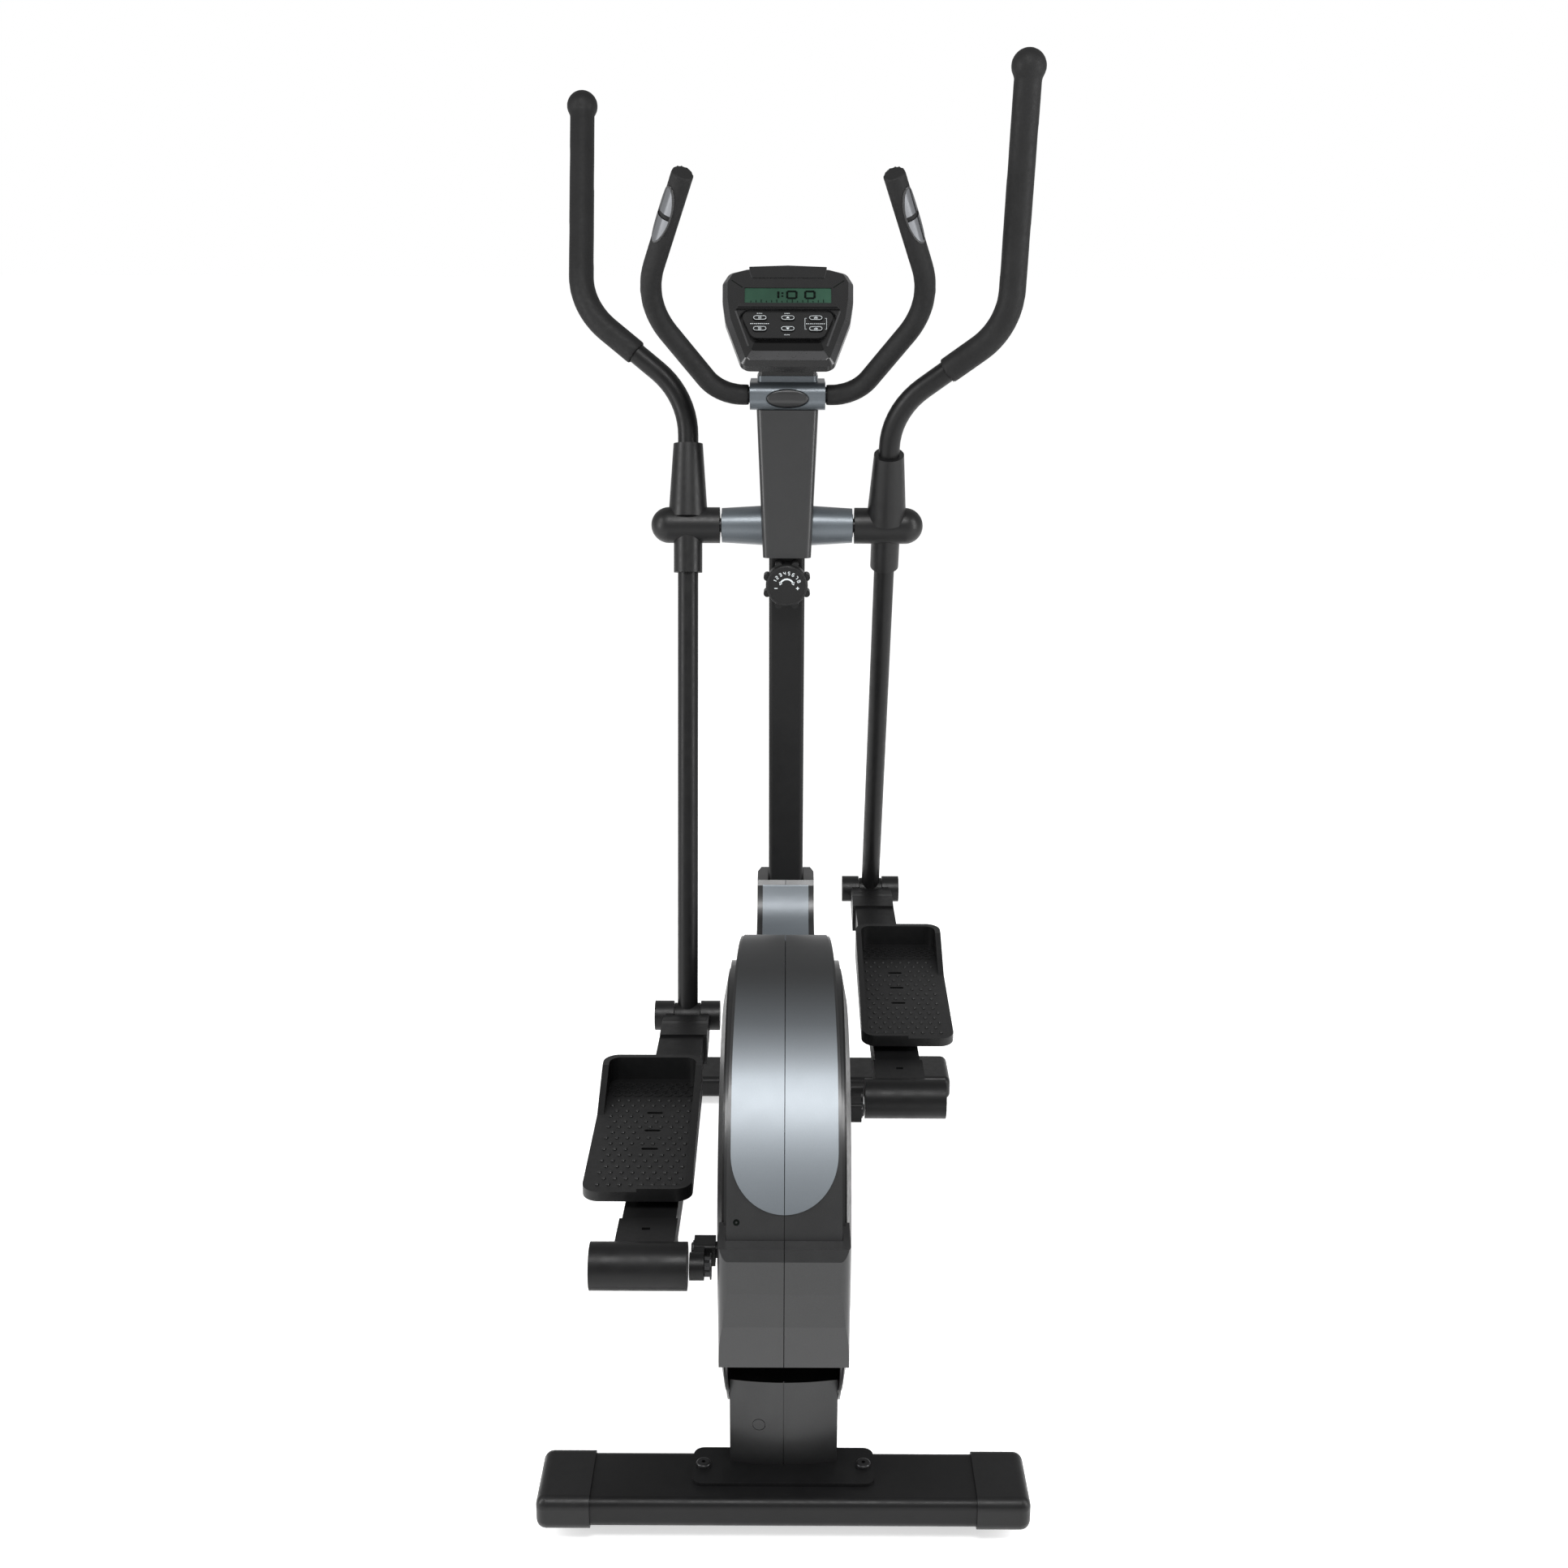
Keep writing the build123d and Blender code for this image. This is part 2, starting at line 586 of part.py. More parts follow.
# ---- cranks: round discs and the crank arms they hide -----------------------------------------
stub_reach = 180.0             # axle to the stub that passes through the disc
stub_radius = 9.0
block_outer = 98.8
eye_inner = 86.6
eye_outer = 102.3
for side in (-1, 1):
    name = side_name[side]
    pin_y, pin_z = crank_pin(side)
    stub_y = crank_y + side * stub_reach * cos(crank_rest)
    stub_z = crank_z + side * stub_reach * sin(crank_rest)
    with BuildPart() as crank_disc:
        barrel(side * disc_inner_x, side * (disc_outer_x - 6), crank_y, crank_z, disc_radius)
        # face slopes outwards from the rim to the flat crown
        with BuildSketch(side_plane(side * (disc_outer_x - 6), crank_y, crank_z)) as face_rim:
            Circle(disc_radius)
        with BuildSketch(side_plane(side * disc_outer_x, crank_y, crank_z)) as face_crown:
            Circle(disc_crown)
        loft([face_rim.sketch, face_crown.sketch])
        barrel(side * (disc_inner_x - 1), side * arm_bar_outer, crank_y, crank_z, disc_crown - 1, mode=Mode.SUBTRACT)
        barrel(side * disc_inner_x, side * disc_outer_x, stub_y, stub_z, stub_radius, mode=Mode.SUBTRACT)
    finish(crank_disc, f"crank_disc_{name}")
    with BuildPart() as crank_arm:
        low, high = sorted((side * arm_bar_inner, side * arm_bar_outer))
        with BuildSketch(crank_plane(side, low)) as bar:
            with Locations((arm_bar_end / 2, 0)):
                Rectangle(arm_bar_end, 28)
            Circle(19)
            with Locations((arm_bar_end, 0)):
                Circle(14)
        extrude(bar.sketch, amount=high - low)
        barrel(side * arm_bar_inner, side * arm_bar_outer, crank_y, crank_z, axle_radius, mode=Mode.SUBTRACT)
        barrel(side * (arm_bar_outer - 1), side * 76, stub_y, stub_z, stub_radius)
        low, high = sorted((side * 75.3, side * block_outer))
        with BuildSketch(crank_plane(side, low)) as block:
            with Locations((182, 0)):
                RectangleRounded(28, 26, 4)
        extrude(block.sketch, amount=high - low)
        low, high = sorted((side * 87, side * block_outer))
        with BuildSketch(crank_plane(side, low)) as link:
            with Locations((200, 0)):
                Rectangle(36, 24)
        extrude(link.sketch, amount=high - low)
        barrel(side * eye_inner, side * eye_outer, pin_y, pin_z, 15)
        # clamp nuts on the block and behind the eye
        low, high = sorted((side * block_outer, side * (block_outer + 3)))
        with BuildSketch(crank_plane(side, low)) as nut:
            with Locations((180, 0)):
                RegularPolygon(8, 6)
        extrude(nut.sketch, amount=high - low)
        low, high = sorted((side * 79, side * eye_inner))
        with BuildSketch(crank_plane(side, low)) as nut_inner:
            with Locations((crank_radius, 0)):
                RegularPolygon(11, 6)
        extrude(nut_inner.sketch, amount=high - low)
    finish(crank_arm, f"crank_arm_{name}")

# ---- swing levers -----------------------------------------------------------------------------
hub_inner = 95.0
hub_outer = 180.0
lever_hub_radius = 16.0
eye_half = 18.0
bore_gap = 0.05
clevis_pin_radius = 6.0
bend_start = 120.0             # distance up the lever where the handle starts to bend outwards
foam_start = (210.0, 237.0)    # sideways and up the lever
grip_top = (295.0, 602.0, 90.0)
for side in (-1, 1):
    name = side_name[side]
    frame_of_lever = lever_plane(side)
    bend_foot = (side * lever_x, bend_start, 0)
    foam_foot = (side * foam_start[0], foam_start[1], 0)
    grip_end = (side * grip_top[0], grip_top[1], -grip_top[2])
    with BuildLine(frame_of_lever, mode=Mode.PRIVATE) as lower_bend:
        FilletPolyline(bend_foot, (side * lever_x, 178.5, 0), foam_foot, radius=115)
    with BuildLine(frame_of_lever, mode=Mode.PRIVATE) as upper_bend:
        FilletPolyline(foam_foot, (side * grip_x, 300, 0), grip_end, radius=100)
    foot_plane = lever_section(side, side * lever_x, bend_start)
    foam_plane = Plane(
        origin=frame_of_lever.from_local_coords(foam_foot), z_dir=lower_bend.line @ 1 - lower_bend.line @ 0.995,
    )
    with BuildPart() as lever:
        with BuildSketch(lever_section(side, side * lever_x, -lever_length)) as rod:
            Circle(rod_radius)
        extrude(rod.sketch, amount=lever_length + bend_start)
        with BuildSketch(foot_plane) as bend_section:
            Circle(rod_radius)
        sweep(bend_section.sketch, path=lower_bend.line)
        with BuildSketch(foam_plane) as upper_section:
            Circle(handle_radius)
        sweep(upper_section.sketch, path=upper_bend.line)
        barrel(side * hub_inner, side * hub_outer, pivot_y, pivot_z, lever_hub_radius)
        clevis_y, clevis_z = clevis(side)
        barrel(side * (lever_x - eye_half), side * (lever_x + eye_half), clevis_y, clevis_z, 18)
        barrel(side * 90, side * 190, clevis_y, clevis_z, clevis_pin_radius + bore_gap, mode=Mode.SUBTRACT)
        barrel(side * 90, side * 190, pivot_y, pivot_z, 10 + bore_gap, mode=Mode.SUBTRACT)
    finish(lever, f"lever_{name}")
    with BuildPart() as grip:
        with BuildSketch(foam_plane) as foam_section:
            Circle(foam_radius)
        sweep(foam_section.sketch, path=upper_bend.line)
        add(lever.part, mode=Mode.SUBTRACT)
    with BuildPart() as grip_ball:
        with Locations(frame_of_lever.from_local_coords(grip_end)):
            Sphere(22)
        add(lever.part, mode=Mode.SUBTRACT)
        add(grip.part, mode=Mode.SUBTRACT)
    with BuildPart() as grip_set:
        add(grip.part)
        add(grip_ball.part)
    finish(grip_set, f"grip_{name}")
    with BuildPart() as lever_cover:
        barrel(side * 94, side * 165, pivot_y, pivot_z, 25)
        with Locations((side * 165, pivot_y, pivot_z)):
            Sphere(25)
        with BuildSketch(lever_section(side, side * lever_x, -66)) as socket:
            Circle(20)
        extrude(socket.sketch, amount=66)
        with BuildSketch(lever_section(side, side * lever_x, 12)) as cone_foot:
            Circle(27.5)
        with BuildSketch(lever_section(side, side * lever_x, 113)) as cone_top:
            Circle(20.5)
        loft([cone_foot.sketch, cone_top.sketch])
        add(lever.part, mode=Mode.SUBTRACT)
        barrel(side * 90, side * 180, pivot_y, pivot_z, 14, mode=Mode.SUBTRACT)
    finish(lever_cover, f"lever_cover_{name}")

# ---- pedal arms and foot trays ----------------------------------------------------------------
hub_near = 104.6               # hub barrel's inner end
hub_far = 210.0
hub_radius = 26.0
arm_half = 30.0                # half of the arm tube's width
arm_height = 38.0
arm_near_x = 152.0             # middle of the arm tube at the crank pin
arm_start = 14.0
arm_end = arm_length - 52.0
cheek_inner = 119.5 - lever_x  # cheeks each side of the lever's eye, from the lever's middle
cheek_thick = 7.0
plate_heel = 84.0              # foot tray, distances ahead of the crank pin
plate_toe = 374.0
tray_under = 30.0
tray_top = 42.0
tray_inner = 103.5
tray_outer = 228.0
wall_high = 30.0
for side in (-1, 1):
    name = side_name[side]
    pin_y, pin_z = crank_pin(side)
    clevis_y, clevis_z = clevis(side)

    def arm_strip(half, start, end):
        """Plan outline of the arm tube, which runs slightly inwards towards its front end."""
        centre = [side * (arm_near_x + (lever_x - arm_near_x) * run / arm_length) for run in (start, end)]
        with BuildSketch(arm_top_plane(side, 0), mode=Mode.PRIVATE) as strip:
            with BuildLine():
                Polyline(
                    (centre[0] - half, start), (centre[0] + half, start),
                    (centre[1] + half, end), (centre[1] - half, end), close=True,
                )
            make_face()
        return strip.sketch

    with BuildPart() as pedal_arm:
        extrude(arm_strip(arm_half, arm_start, arm_end), amount=arm_height / 2, both=True)
        extrude(
            arm_strip(arm_half - wall, arm_start, arm_end - wall), amount=arm_height / 2 - wall,
            both=True, mode=Mode.SUBTRACT,
        )
        barrel(side * hub_near, side * hub_far, pin_y, pin_z, hub_radius)
        barrel(side * (hub_near + 4), side * (hub_far - 3), pin_y, pin_z, hub_radius - 4, mode=Mode.SUBTRACT)
        # pin stub inside the hub, and the fork that takes the lever's eye
        barrel(side * hub_near, side * (hub_far - 3), pin_y, pin_z, 9)
        for offset_x in (cheek_inner - cheek_thick, -cheek_inner):
            low = side * lever_x + offset_x
            with BuildSketch(arm_plane(side, low)) as cheek:
                with Locations((arm_length - 30, -3)):
                    Rectangle(60, 24)
                with Locations((arm_length, 0)):
                    Circle(15)
            extrude(cheek.sketch, amount=cheek_thick)
        low = side * lever_x + cheek_inner - cheek_thick
        with BuildSketch(arm_plane(side, low)) as bridge:
            with Locations((arm_length - 45, -3)):
                Rectangle(30, 24)
        extrude(bridge.sketch, amount=2 * (cheek_thick - cheek_inner))
        barrel(side * (lever_x - 45), side * (lever_x + 45), clevis_y, clevis_z, clevis_pin_radius)
    finish(pedal_arm, f"pedal_arm_{name}")

    with BuildPart() as clevis_cover:
        for low in (lever_x - 46, lever_x + 19):
            barrel(side * low, side * (low + 27), clevis_y, clevis_z, 21)
            low_x = min(side * max(low, lever_x - 30), side * min(low + 27, lever_x + 30))
            with BuildSketch(arm_plane(side, low_x)) as shoulder:
                with Locations((arm_length - 20, -2)):
                    Rectangle(40, 26)
            extrude(shoulder.sketch, amount=11)
        with BuildSketch(arm_plane(side, side * lever_x - arm_half - 2)) as neck:
            with BuildLine():
                Polyline(
                    (arm_length - 24, 11), (arm_length - 75, 22), (arm_length - 112, 22),
                    (arm_length - 112, -22), (arm_length - 24, -17), close=True,
                )
            make_face()
        extrude(neck.sketch, amount=2 * arm_half + 4)
        add(pedal_arm.part, mode=Mode.SUBTRACT)
        barrel(side * (lever_x - 19), side * (lever_x + 19), clevis_y, clevis_z, 22, mode=Mode.SUBTRACT)
    with BuildPart() as saddle_cover:
        extrude(arm_strip(arm_half + 2.5, 2, 62), amount=arm_height / 2 + 3, both=True)
        with Locations(arm_top_plane(side, arm_height / 2) * Location((side * arm_near_x, 40, 0))):
            Box(9, 5, 12, mode=Mode.SUBTRACT)
        add(pedal_arm.part, mode=Mode.SUBTRACT)
        barrel(side * 100, side * 215, pin_y, pin_z, hub_radius - 1, mode=Mode.SUBTRACT)
    with BuildPart() as arm_covers:
        add(clevis_cover.part)
        add(saddle_cover.part)
    finish(arm_covers, f"arm_covers_{name}")

    tray_x = side * (tray_inner + tray_outer) / 2
    tray_width = tray_outer - tray_inner
    tray_middle = (plate_heel + plate_toe) / 2
    with BuildPart() as pedal:
        with BuildSketch(arm_top_plane(side, tray_under)) as sole:
            with Locations((tray_x, tray_middle)):
                RectangleRounded(tray_width, plate_toe - plate_heel, 20)
        extrude(sole.sketch, amount=tray_top - tray_under)
        with BuildSketch(arm_top_plane(side, tray_top)) as rim:
            with Locations((tray_x, tray_middle)):
                RectangleRounded(tray_width, plate_toe - plate_heel, 20)
                RectangleRounded(tray_width - 16, plate_toe - plate_heel - 16, 14, mode=Mode.SUBTRACT)
        extrude(rim.sketch, amount=wall_high)
        # inner wall falls evenly towards the heel, outer wall ends soon after the toe
        wall_top = tray_top + wall_high
        slopes = ((tray_inner - 1, tray_width / 2 + 1, plate_heel + 6, 4), (tray_inner + tray_width / 2, 64, 268, 0))
        for start_x, reach, foot, left in slopes:
            low_x = min(side * start_x, side * (start_x + reach))
            with BuildSketch(arm_plane(side, low_x)) as slope:
                with BuildLine():
                    Polyline(
                        (plate_heel - 10, tray_top + left), (foot, tray_top + left), (plate_toe - 30, wall_top),
                        (plate_toe - 30, wall_top + 5), (plate_heel - 10, wall_top + 5), close=True,
                    )
                make_face()
            extrude(slope.sketch, amount=reach, mode=Mode.SUBTRACT)
        # adjustment slots, and the two supports that stand on the arm
        with BuildSketch(arm_top_plane(side, tray_under)) as slots:
            with Locations(*[(tray_x - side * 8, tray_middle + step) for step in (-45, 0, 45)]):
                SlotOverall(20, 5)
        extrude(slots.sketch, amount=tray_top - tray_under, mode=Mode.SUBTRACT)
        with BuildSketch(arm_top_plane(side, arm_height / 2)) as supports:
            with Locations(*[(side * 147, tray_middle + step) for step in (-85, 85)]):
                Rectangle(46, 24)
        extrude(supports.sketch, amount=tray_under - arm_height / 2)
    finish(pedal, f"pedal_{name}")

# ---- upper body: column cover, bosses, clamp, fixed handlebar ---------------------------------
column_low = 973.0
column_high = 1175.0
column_y = mast_y + 2.0
column_depth = 86.0
with BuildPart() as column_cover:
    with BuildSketch(Plane.XY.offset(column_low)) as foot:
        with Locations((0, column_y)):
            RectangleRounded(67, column_depth, 9)
    with BuildSketch(Plane.XY.offset(column_high)) as head:
        with Locations((0, column_y)):
            RectangleRounded(84, column_depth, 9)
    loft([foot.sketch, head.sketch])
    with BuildSketch(Plane.XY.offset(column_low + 3)) as foot_inside:
        with Locations((0, column_y)):
            RectangleRounded(61.3, column_depth - 6, 6)
    with BuildSketch(Plane.XY.offset(column_high - 3)) as head_inside:
        with Locations((0, column_y)):
            RectangleRounded(77.7, column_depth - 6, 6)
    loft([foot_inside.sketch, head_inside.sketch], mode=Mode.SUBTRACT)
    with Locations((0, mast_y, (column_low + column_high) / 2)):
        Box(mast_size, mast_size, 210, mode=Mode.SUBTRACT)
    barrel(-50, 50, pivot_y, pivot_z, 16, mode=Mode.SUBTRACT)
finish(column_cover, "column_cover")

with BuildPart() as pivot_bosses:
    for side in (-1, 1):
        with BuildSketch(side_plane(side * 33.0, pivot_y, pivot_z)) as boss_foot:
            Circle(27.5)
        with BuildSketch(side_plane(side * 91.0, pivot_y, pivot_z)) as boss_end:
            Circle(24)
        loft([boss_foot.sketch, boss_end.sketch])
    barrel(-95, 95, pivot_y, pivot_z, 16, mode=Mode.SUBTRACT)
    add(column_cover.part, mode=Mode.SUBTRACT)
    with Locations((0, mast_y, pivot_z)):
        Box(68, column_depth - 6, 80, mode=Mode.SUBTRACT)
finish(pivot_bosses, "pivot_bosses")

clamp_half = 51.0
clamp_low = column_high
clamp_high = 1212.0
collar_high = 8.0              # collar round the neck, above the cover
bar_y = mast_y - 33.0
bar_z = 1195.0
bar_radius = 11.0
bar_foam = 14.0
bar_lean = 35.0
bar_reach = 92.0
bar_elbow = (187.5, 152.5)
bar_end = (128.5, 339.0)
clamp_deep = 100.0
clamp_round = 15.0
dish = 1.5                     # depth of the oval dish on the back


def clamp_body(shrink):
    """Cover's rounded bar shape, made smaller by a distance."""
    high = clamp_high - clamp_low
    with BuildPart(mode=Mode.PRIVATE) as body:
        with BuildSketch(side_plane(-clamp_half, mast_y, clamp_low + high / 2)) as section:
            RectangleRounded(clamp_deep - 2 * shrink, high - 2 * shrink, clamp_round - shrink)
        extrude(section.sketch, amount=2 * clamp_half)
    return body.part


with BuildPart() as oval_dish:
    with BuildSketch(Plane(origin=(0, mast_y, clamp_low + 16), x_dir=(-1, 0, 0), z_dir=(0, -1, 0))) as oval:
        Ellipse(30, 13)
    extrude(oval.sketch, amount=80)
    add(clamp_body(dish), mode=Mode.SUBTRACT)
with BuildPart() as clamp_cover:
    add(clamp_body(0))
    with BuildSketch(Plane.XY.offset(clamp_high - 5)) as collar:
        with Locations((0, mast_y)):
            RectangleRounded(82, 72, 8)
    extrude(collar.sketch, amount=5 + collar_high)
    barrel(-60, 60, bar_y, bar_z, bar_radius, mode=Mode.SUBTRACT)
    add(oval_dish.part, mode=Mode.SUBTRACT)
finish(clamp_cover, "clamp_cover")

lean_plane = Plane(
    origin=(0, bar_y, bar_z), x_dir=(1, 0, 0), z_dir=(0, -cos(radians(bar_lean)), -sin(radians(bar_lean))),
)


def bar_path(start):
    """Centre line of the right half of the fixed handlebar in its leaning plane."""
    with BuildLine(lean_plane, mode=Mode.PRIVATE) as path:
        FilletPolyline((start, 0), (bar_reach, 0), bar_elbow, bar_end, radius=(60, 127))
    return path.line


with BuildPart() as handlebar:
    with BuildSketch(side_plane(0, bar_y, bar_z)) as bar_section:
        Circle(bar_radius)
        Circle(bar_radius - wall, mode=Mode.SUBTRACT)
    sweep(bar_section.sketch, path=bar_path(0))
    mirror(about=Plane.YZ)
finish(handlebar, "handlebar")

with BuildPart() as bar_grip:
    with BuildSketch(side_plane(clamp_half, bar_y, bar_z)) as foam_ring:
        Circle(bar_foam)
        Circle(bar_radius, mode=Mode.SUBTRACT)
    sweep(foam_ring.sketch, path=bar_path(clamp_half))
    # end plug closes the tube
    top_run = (Vector(*bar_end) - Vector(*bar_elbow)).normalized()
    top_dir = lean_plane.from_local_coords(top_run) - lean_plane.origin
    with BuildSketch(Plane(origin=lean_plane.from_local_coords(bar_end), z_dir=top_dir)) as plug:
        Circle(bar_foam)
    extrude(plug.sketch, amount=3)
    mirror(about=Plane.YZ)
finish(bar_grip, "handlebar_foam")

# pulse plates: two thin curved plates on each side, facing outwards and towards the user
plate_centre = 56.0            # from the bar's end
plate_run = 78.0
plate_skin = 1.2
with BuildPart() as pulse_plates:
    middle = lean_plane.from_local_coords(Vector(*bar_end) - top_run * plate_centre)
    outward = lean_plane.from_local_coords(Vector(top_run.Y, -top_run.X)) - lean_plane.origin
    facing = (outward + lean_plane.z_dir * 0.85).normalized()
    with BuildSketch(Plane(origin=middle - top_dir * plate_run / 2, z_dir=top_dir)) as ring:
        Circle(bar_foam + plate_skin)
        Circle(bar_foam, mode=Mode.SUBTRACT)
    extrude(ring.sketch, amount=plate_run)
    with BuildSketch(Plane(origin=middle, x_dir=top_dir, z_dir=facing)) as window:
        Ellipse(plate_run / 2, 11)
        Rectangle(7, 40, mode=Mode.SUBTRACT)
    extrude(window.sketch, amount=20, mode=Mode.INTERSECT)
    mirror(about=Plane.YZ)
finish(pulse_plates, "pulse_plates")

# ---- console ----------------------------------------------------------------------------------
console_tilt = 45.0
console_plane = Plane(
    origin=(0, mast_y - 28, 1299), x_dir=(1, 0, 0), z_dir=(0, -cos(radians(console_tilt)), sin(radians(console_tilt))),
)
console_thick = 16.0
console_back_depth = 42.0
face_bevel = 7.0
pocket_depth = 7.0             # hollow round the keypad block
pad_top = 1.5                  # keypad block's face lies this far under the console's
cavity_floor = 9.0
lens_width = 117.0
lens_height = 27.0
lens_v = 35.5
button_length = 19.0
button_width = 9.0
button_rows = (-3.5, -22.5)
button_columns = (-37.5, 0.0, 37.5)


def console_outline(depth, inset):
    """Rounded shield outline of the console in its own plane."""
    with BuildSketch(console_plane.offset(depth), mode=Mode.PRIVATE) as outline:
        with BuildLine():
            Polyline(
                (0, 92 - inset), (56 - inset / 3, 89 - inset), (80 - inset, 81 - inset), (89 - inset, 62 - inset / 2),
                (88.5 - inset, 30), (84 - inset, -6), (61 - inset, -82 + inset), (0, -83 + inset), (0, 92 - inset),
            )
        make_face()
        mirror(about=Plane.YZ)
        fillet(outline.vertices().filter_by(lambda corner: abs(corner.X) > 50), 13)
    return outline.sketch


def half_shape(points, depth, radius):
    """Shape on the console's face, mirrored about its middle, with its lower corners rounded."""
    with BuildSketch(console_plane.offset(depth), mode=Mode.PRIVATE) as shape:
        with BuildLine():
            Polyline(*points, close=True)
        make_face()
        mirror(about=Plane.YZ)
        fillet([corner for corner in shape.vertices().group_by(Axis.Z)[0] if abs(corner.X) > 1], radius)
    return shape.sketch


with BuildPart() as console_body:
    extrude(console_outline(-console_thick, 0), amount=console_thick)
    chamfer(
        console_body.edges().filter_by(lambda edge: console_plane.to_local_coords(edge.center()).Z > -0.01), face_bevel,
    )
    pocket = half_shape([(0, 10), (70, 10), (50, -62), (0, -62)], -pocket_depth, 14)
    extrude(pocket, amount=pocket_depth, mode=Mode.SUBTRACT)
    pad = half_shape([(0, 10.5), (66, 10.5), (47.5, -38), (0, -38)], -pocket_depth - 1, 12)
    extrude(pad, amount=pocket_depth + 1 - pad_top)
    with BuildSketch(console_plane.offset(-2)) as lens_window:
        with Locations((0, lens_v)):
            RectangleRounded(lens_width, lens_height, 2)
    extrude(lens_window.sketch, amount=2, mode=Mode.SUBTRACT)
    extrude(console_outline(-console_thick, 4), amount=console_thick - cavity_floor, mode=Mode.SUBTRACT)
    with BuildSketch(console_plane.offset(-cavity_floor)) as button_holes:
        with Locations(*[(u, v) for u in button_columns for v in button_rows]):
            SlotOverall(button_length + 0.8, button_width + 0.8)
    extrude(button_holes.sketch, amount=cavity_floor, mode=Mode.SUBTRACT)
finish(console_body, "console_body")

with BuildPart() as console_lens:
    with BuildSketch(console_plane.offset(-2)) as glass:
        with Locations((0, lens_v)):
            RectangleRounded(lens_width, lens_height, 2)
    extrude(glass.sketch, amount=1.6)
finish(console_lens, "console_lens")

with BuildPart() as console_back:
    extrude(console_outline(-console_thick - 3, 1.5), amount=3)
    for inset, deep, mode in ((0, console_back_depth, Mode.ADD), (3, console_back_depth - 3, Mode.SUBTRACT)):
        with BuildSketch(console_plane.offset(-deep)) as far:
            RectangleRounded(2 * (48 - inset), 2 * (54 - inset), 12)
        with BuildSketch(console_plane.offset(-console_thick - 3)) as near:
            RectangleRounded(2 * (60 - inset), 2 * (72 - inset), 16)
        loft([near.sketch, far.sketch], mode=mode)
    with BuildSketch(console_plane.offset(-console_thick - 3)) as cavity_mouth:
        RectangleRounded(112, 136, 13)
    extrude(cavity_mouth.sketch, amount=3, mode=Mode.SUBTRACT)
finish(console_back, "console_back")

for index, (u, v) in enumerate([(u, v) for v in button_rows for u in button_columns], start=1):
    with BuildPart() as button:
        with BuildSketch(console_plane.offset(-cavity_floor - 1.6)) as cap_outline:
            with Locations((u, v)):
                SlotOverall(button_length, button_width)
        extrude(cap_outline.sketch, amount=cavity_floor + 1.6 - pad_top + 1.4)
        with BuildSketch(console_plane.offset(-cavity_floor - 1.6)) as flange:
            with Locations((u, v)):
                SlotOverall(button_length + 3.5, button_width + 3.5)
        extrude(flange.sketch, amount=1.5)
    finish(button, f"button_{index}")

with BuildPart() as console_neck:
    with BuildSketch(Plane.XY.offset(clamp_high + collar_high)) as neck_plan:
        with Locations((0, mast_y - 4)):
            RectangleRounded(78, 60, 6)
    extrude(neck_plan.sketch, amount=110)
    with Locations(console_plane.offset(-console_back_depth) * Location((0, 0, 100))):
        Box(400, 400, 200, mode=Mode.SUBTRACT)
finish(console_neck, "console_neck")

# ---- tension knob and cable -------------------------------------------------------------------
knob_z = 937.0
knob_radius = 29.2
knob_lobe = 5.0
cap_high = 5.0
knob_back = mast_y - 33.0
knob_front = mast_y - 58.0
knob_shaft = 4.0
mast_face = mast_y - mast_size / 2


def rear_view(y):
    """Plane facing the user at a station along the machine, centred on the knob."""
    return Plane(origin=(0, y, knob_z), x_dir=(1, 0, 0), z_dir=(0, -1, 0))


with BuildPart() as knob_base:
    with BuildSketch(rear_view(mast_face)) as base:
        Circle(26)
        Circle(knob_shaft + bore_gap, mode=Mode.SUBTRACT)
    extrude(base.sketch, amount=mast_face - knob_back - 1.2)
finish(knob_base, "knob_base")

with BuildPart() as tension_knob:
    with BuildSketch(rear_view(knob_back)) as knob:
        Circle(knob_radius)
        with PolarLocations(knob_radius + 0.3, 8, start_angle=22.5):
            Circle(knob_lobe)
    extrude(knob.sketch, amount=knob_back - knob_front - cap_high)
    with BuildSketch(rear_view(knob_front + cap_high)) as knob_cap:
        Circle(knob_radius - 0.6)
    extrude(knob_cap.sketch, amount=cap_high)
    fillet(tension_knob.edges().group_by(Axis.Y)[0], 2)
    with BuildSketch(rear_view(mast_face + wall)) as shaft:
        Circle(knob_shaft)
    extrude(shaft.sketch, amount=mast_face + wall - knob_back)
finish(tension_knob, "tension_knob")

cable_low = 352.0
with BuildPart() as tension_cable:
    with BuildLine(Plane.YZ) as cable_path:
        FilletPolyline(
            (mast_face + 4, knob_z), (mast_y, knob_z), (mast_y, cable_low), (mast_face - 8, cable_low), radius=18,
        )
    with BuildSketch(Plane(origin=(0, mast_face + 4, knob_z), z_dir=(0, 1, 0))) as cable_section:
        Circle(1.5)
    sweep(cable_section.sketch, path=cable_path.line)
    with BuildSketch(Plane(origin=(0, mast_face, cable_low), z_dir=(0, 1, 0))) as ferrule:
        Circle(4.5)
    extrude(ferrule.sketch, amount=wall)
finish(tension_cable, "tension_cable")
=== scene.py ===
import json
import math

import bmesh
import bpy
from mathutils import Matrix, Vector


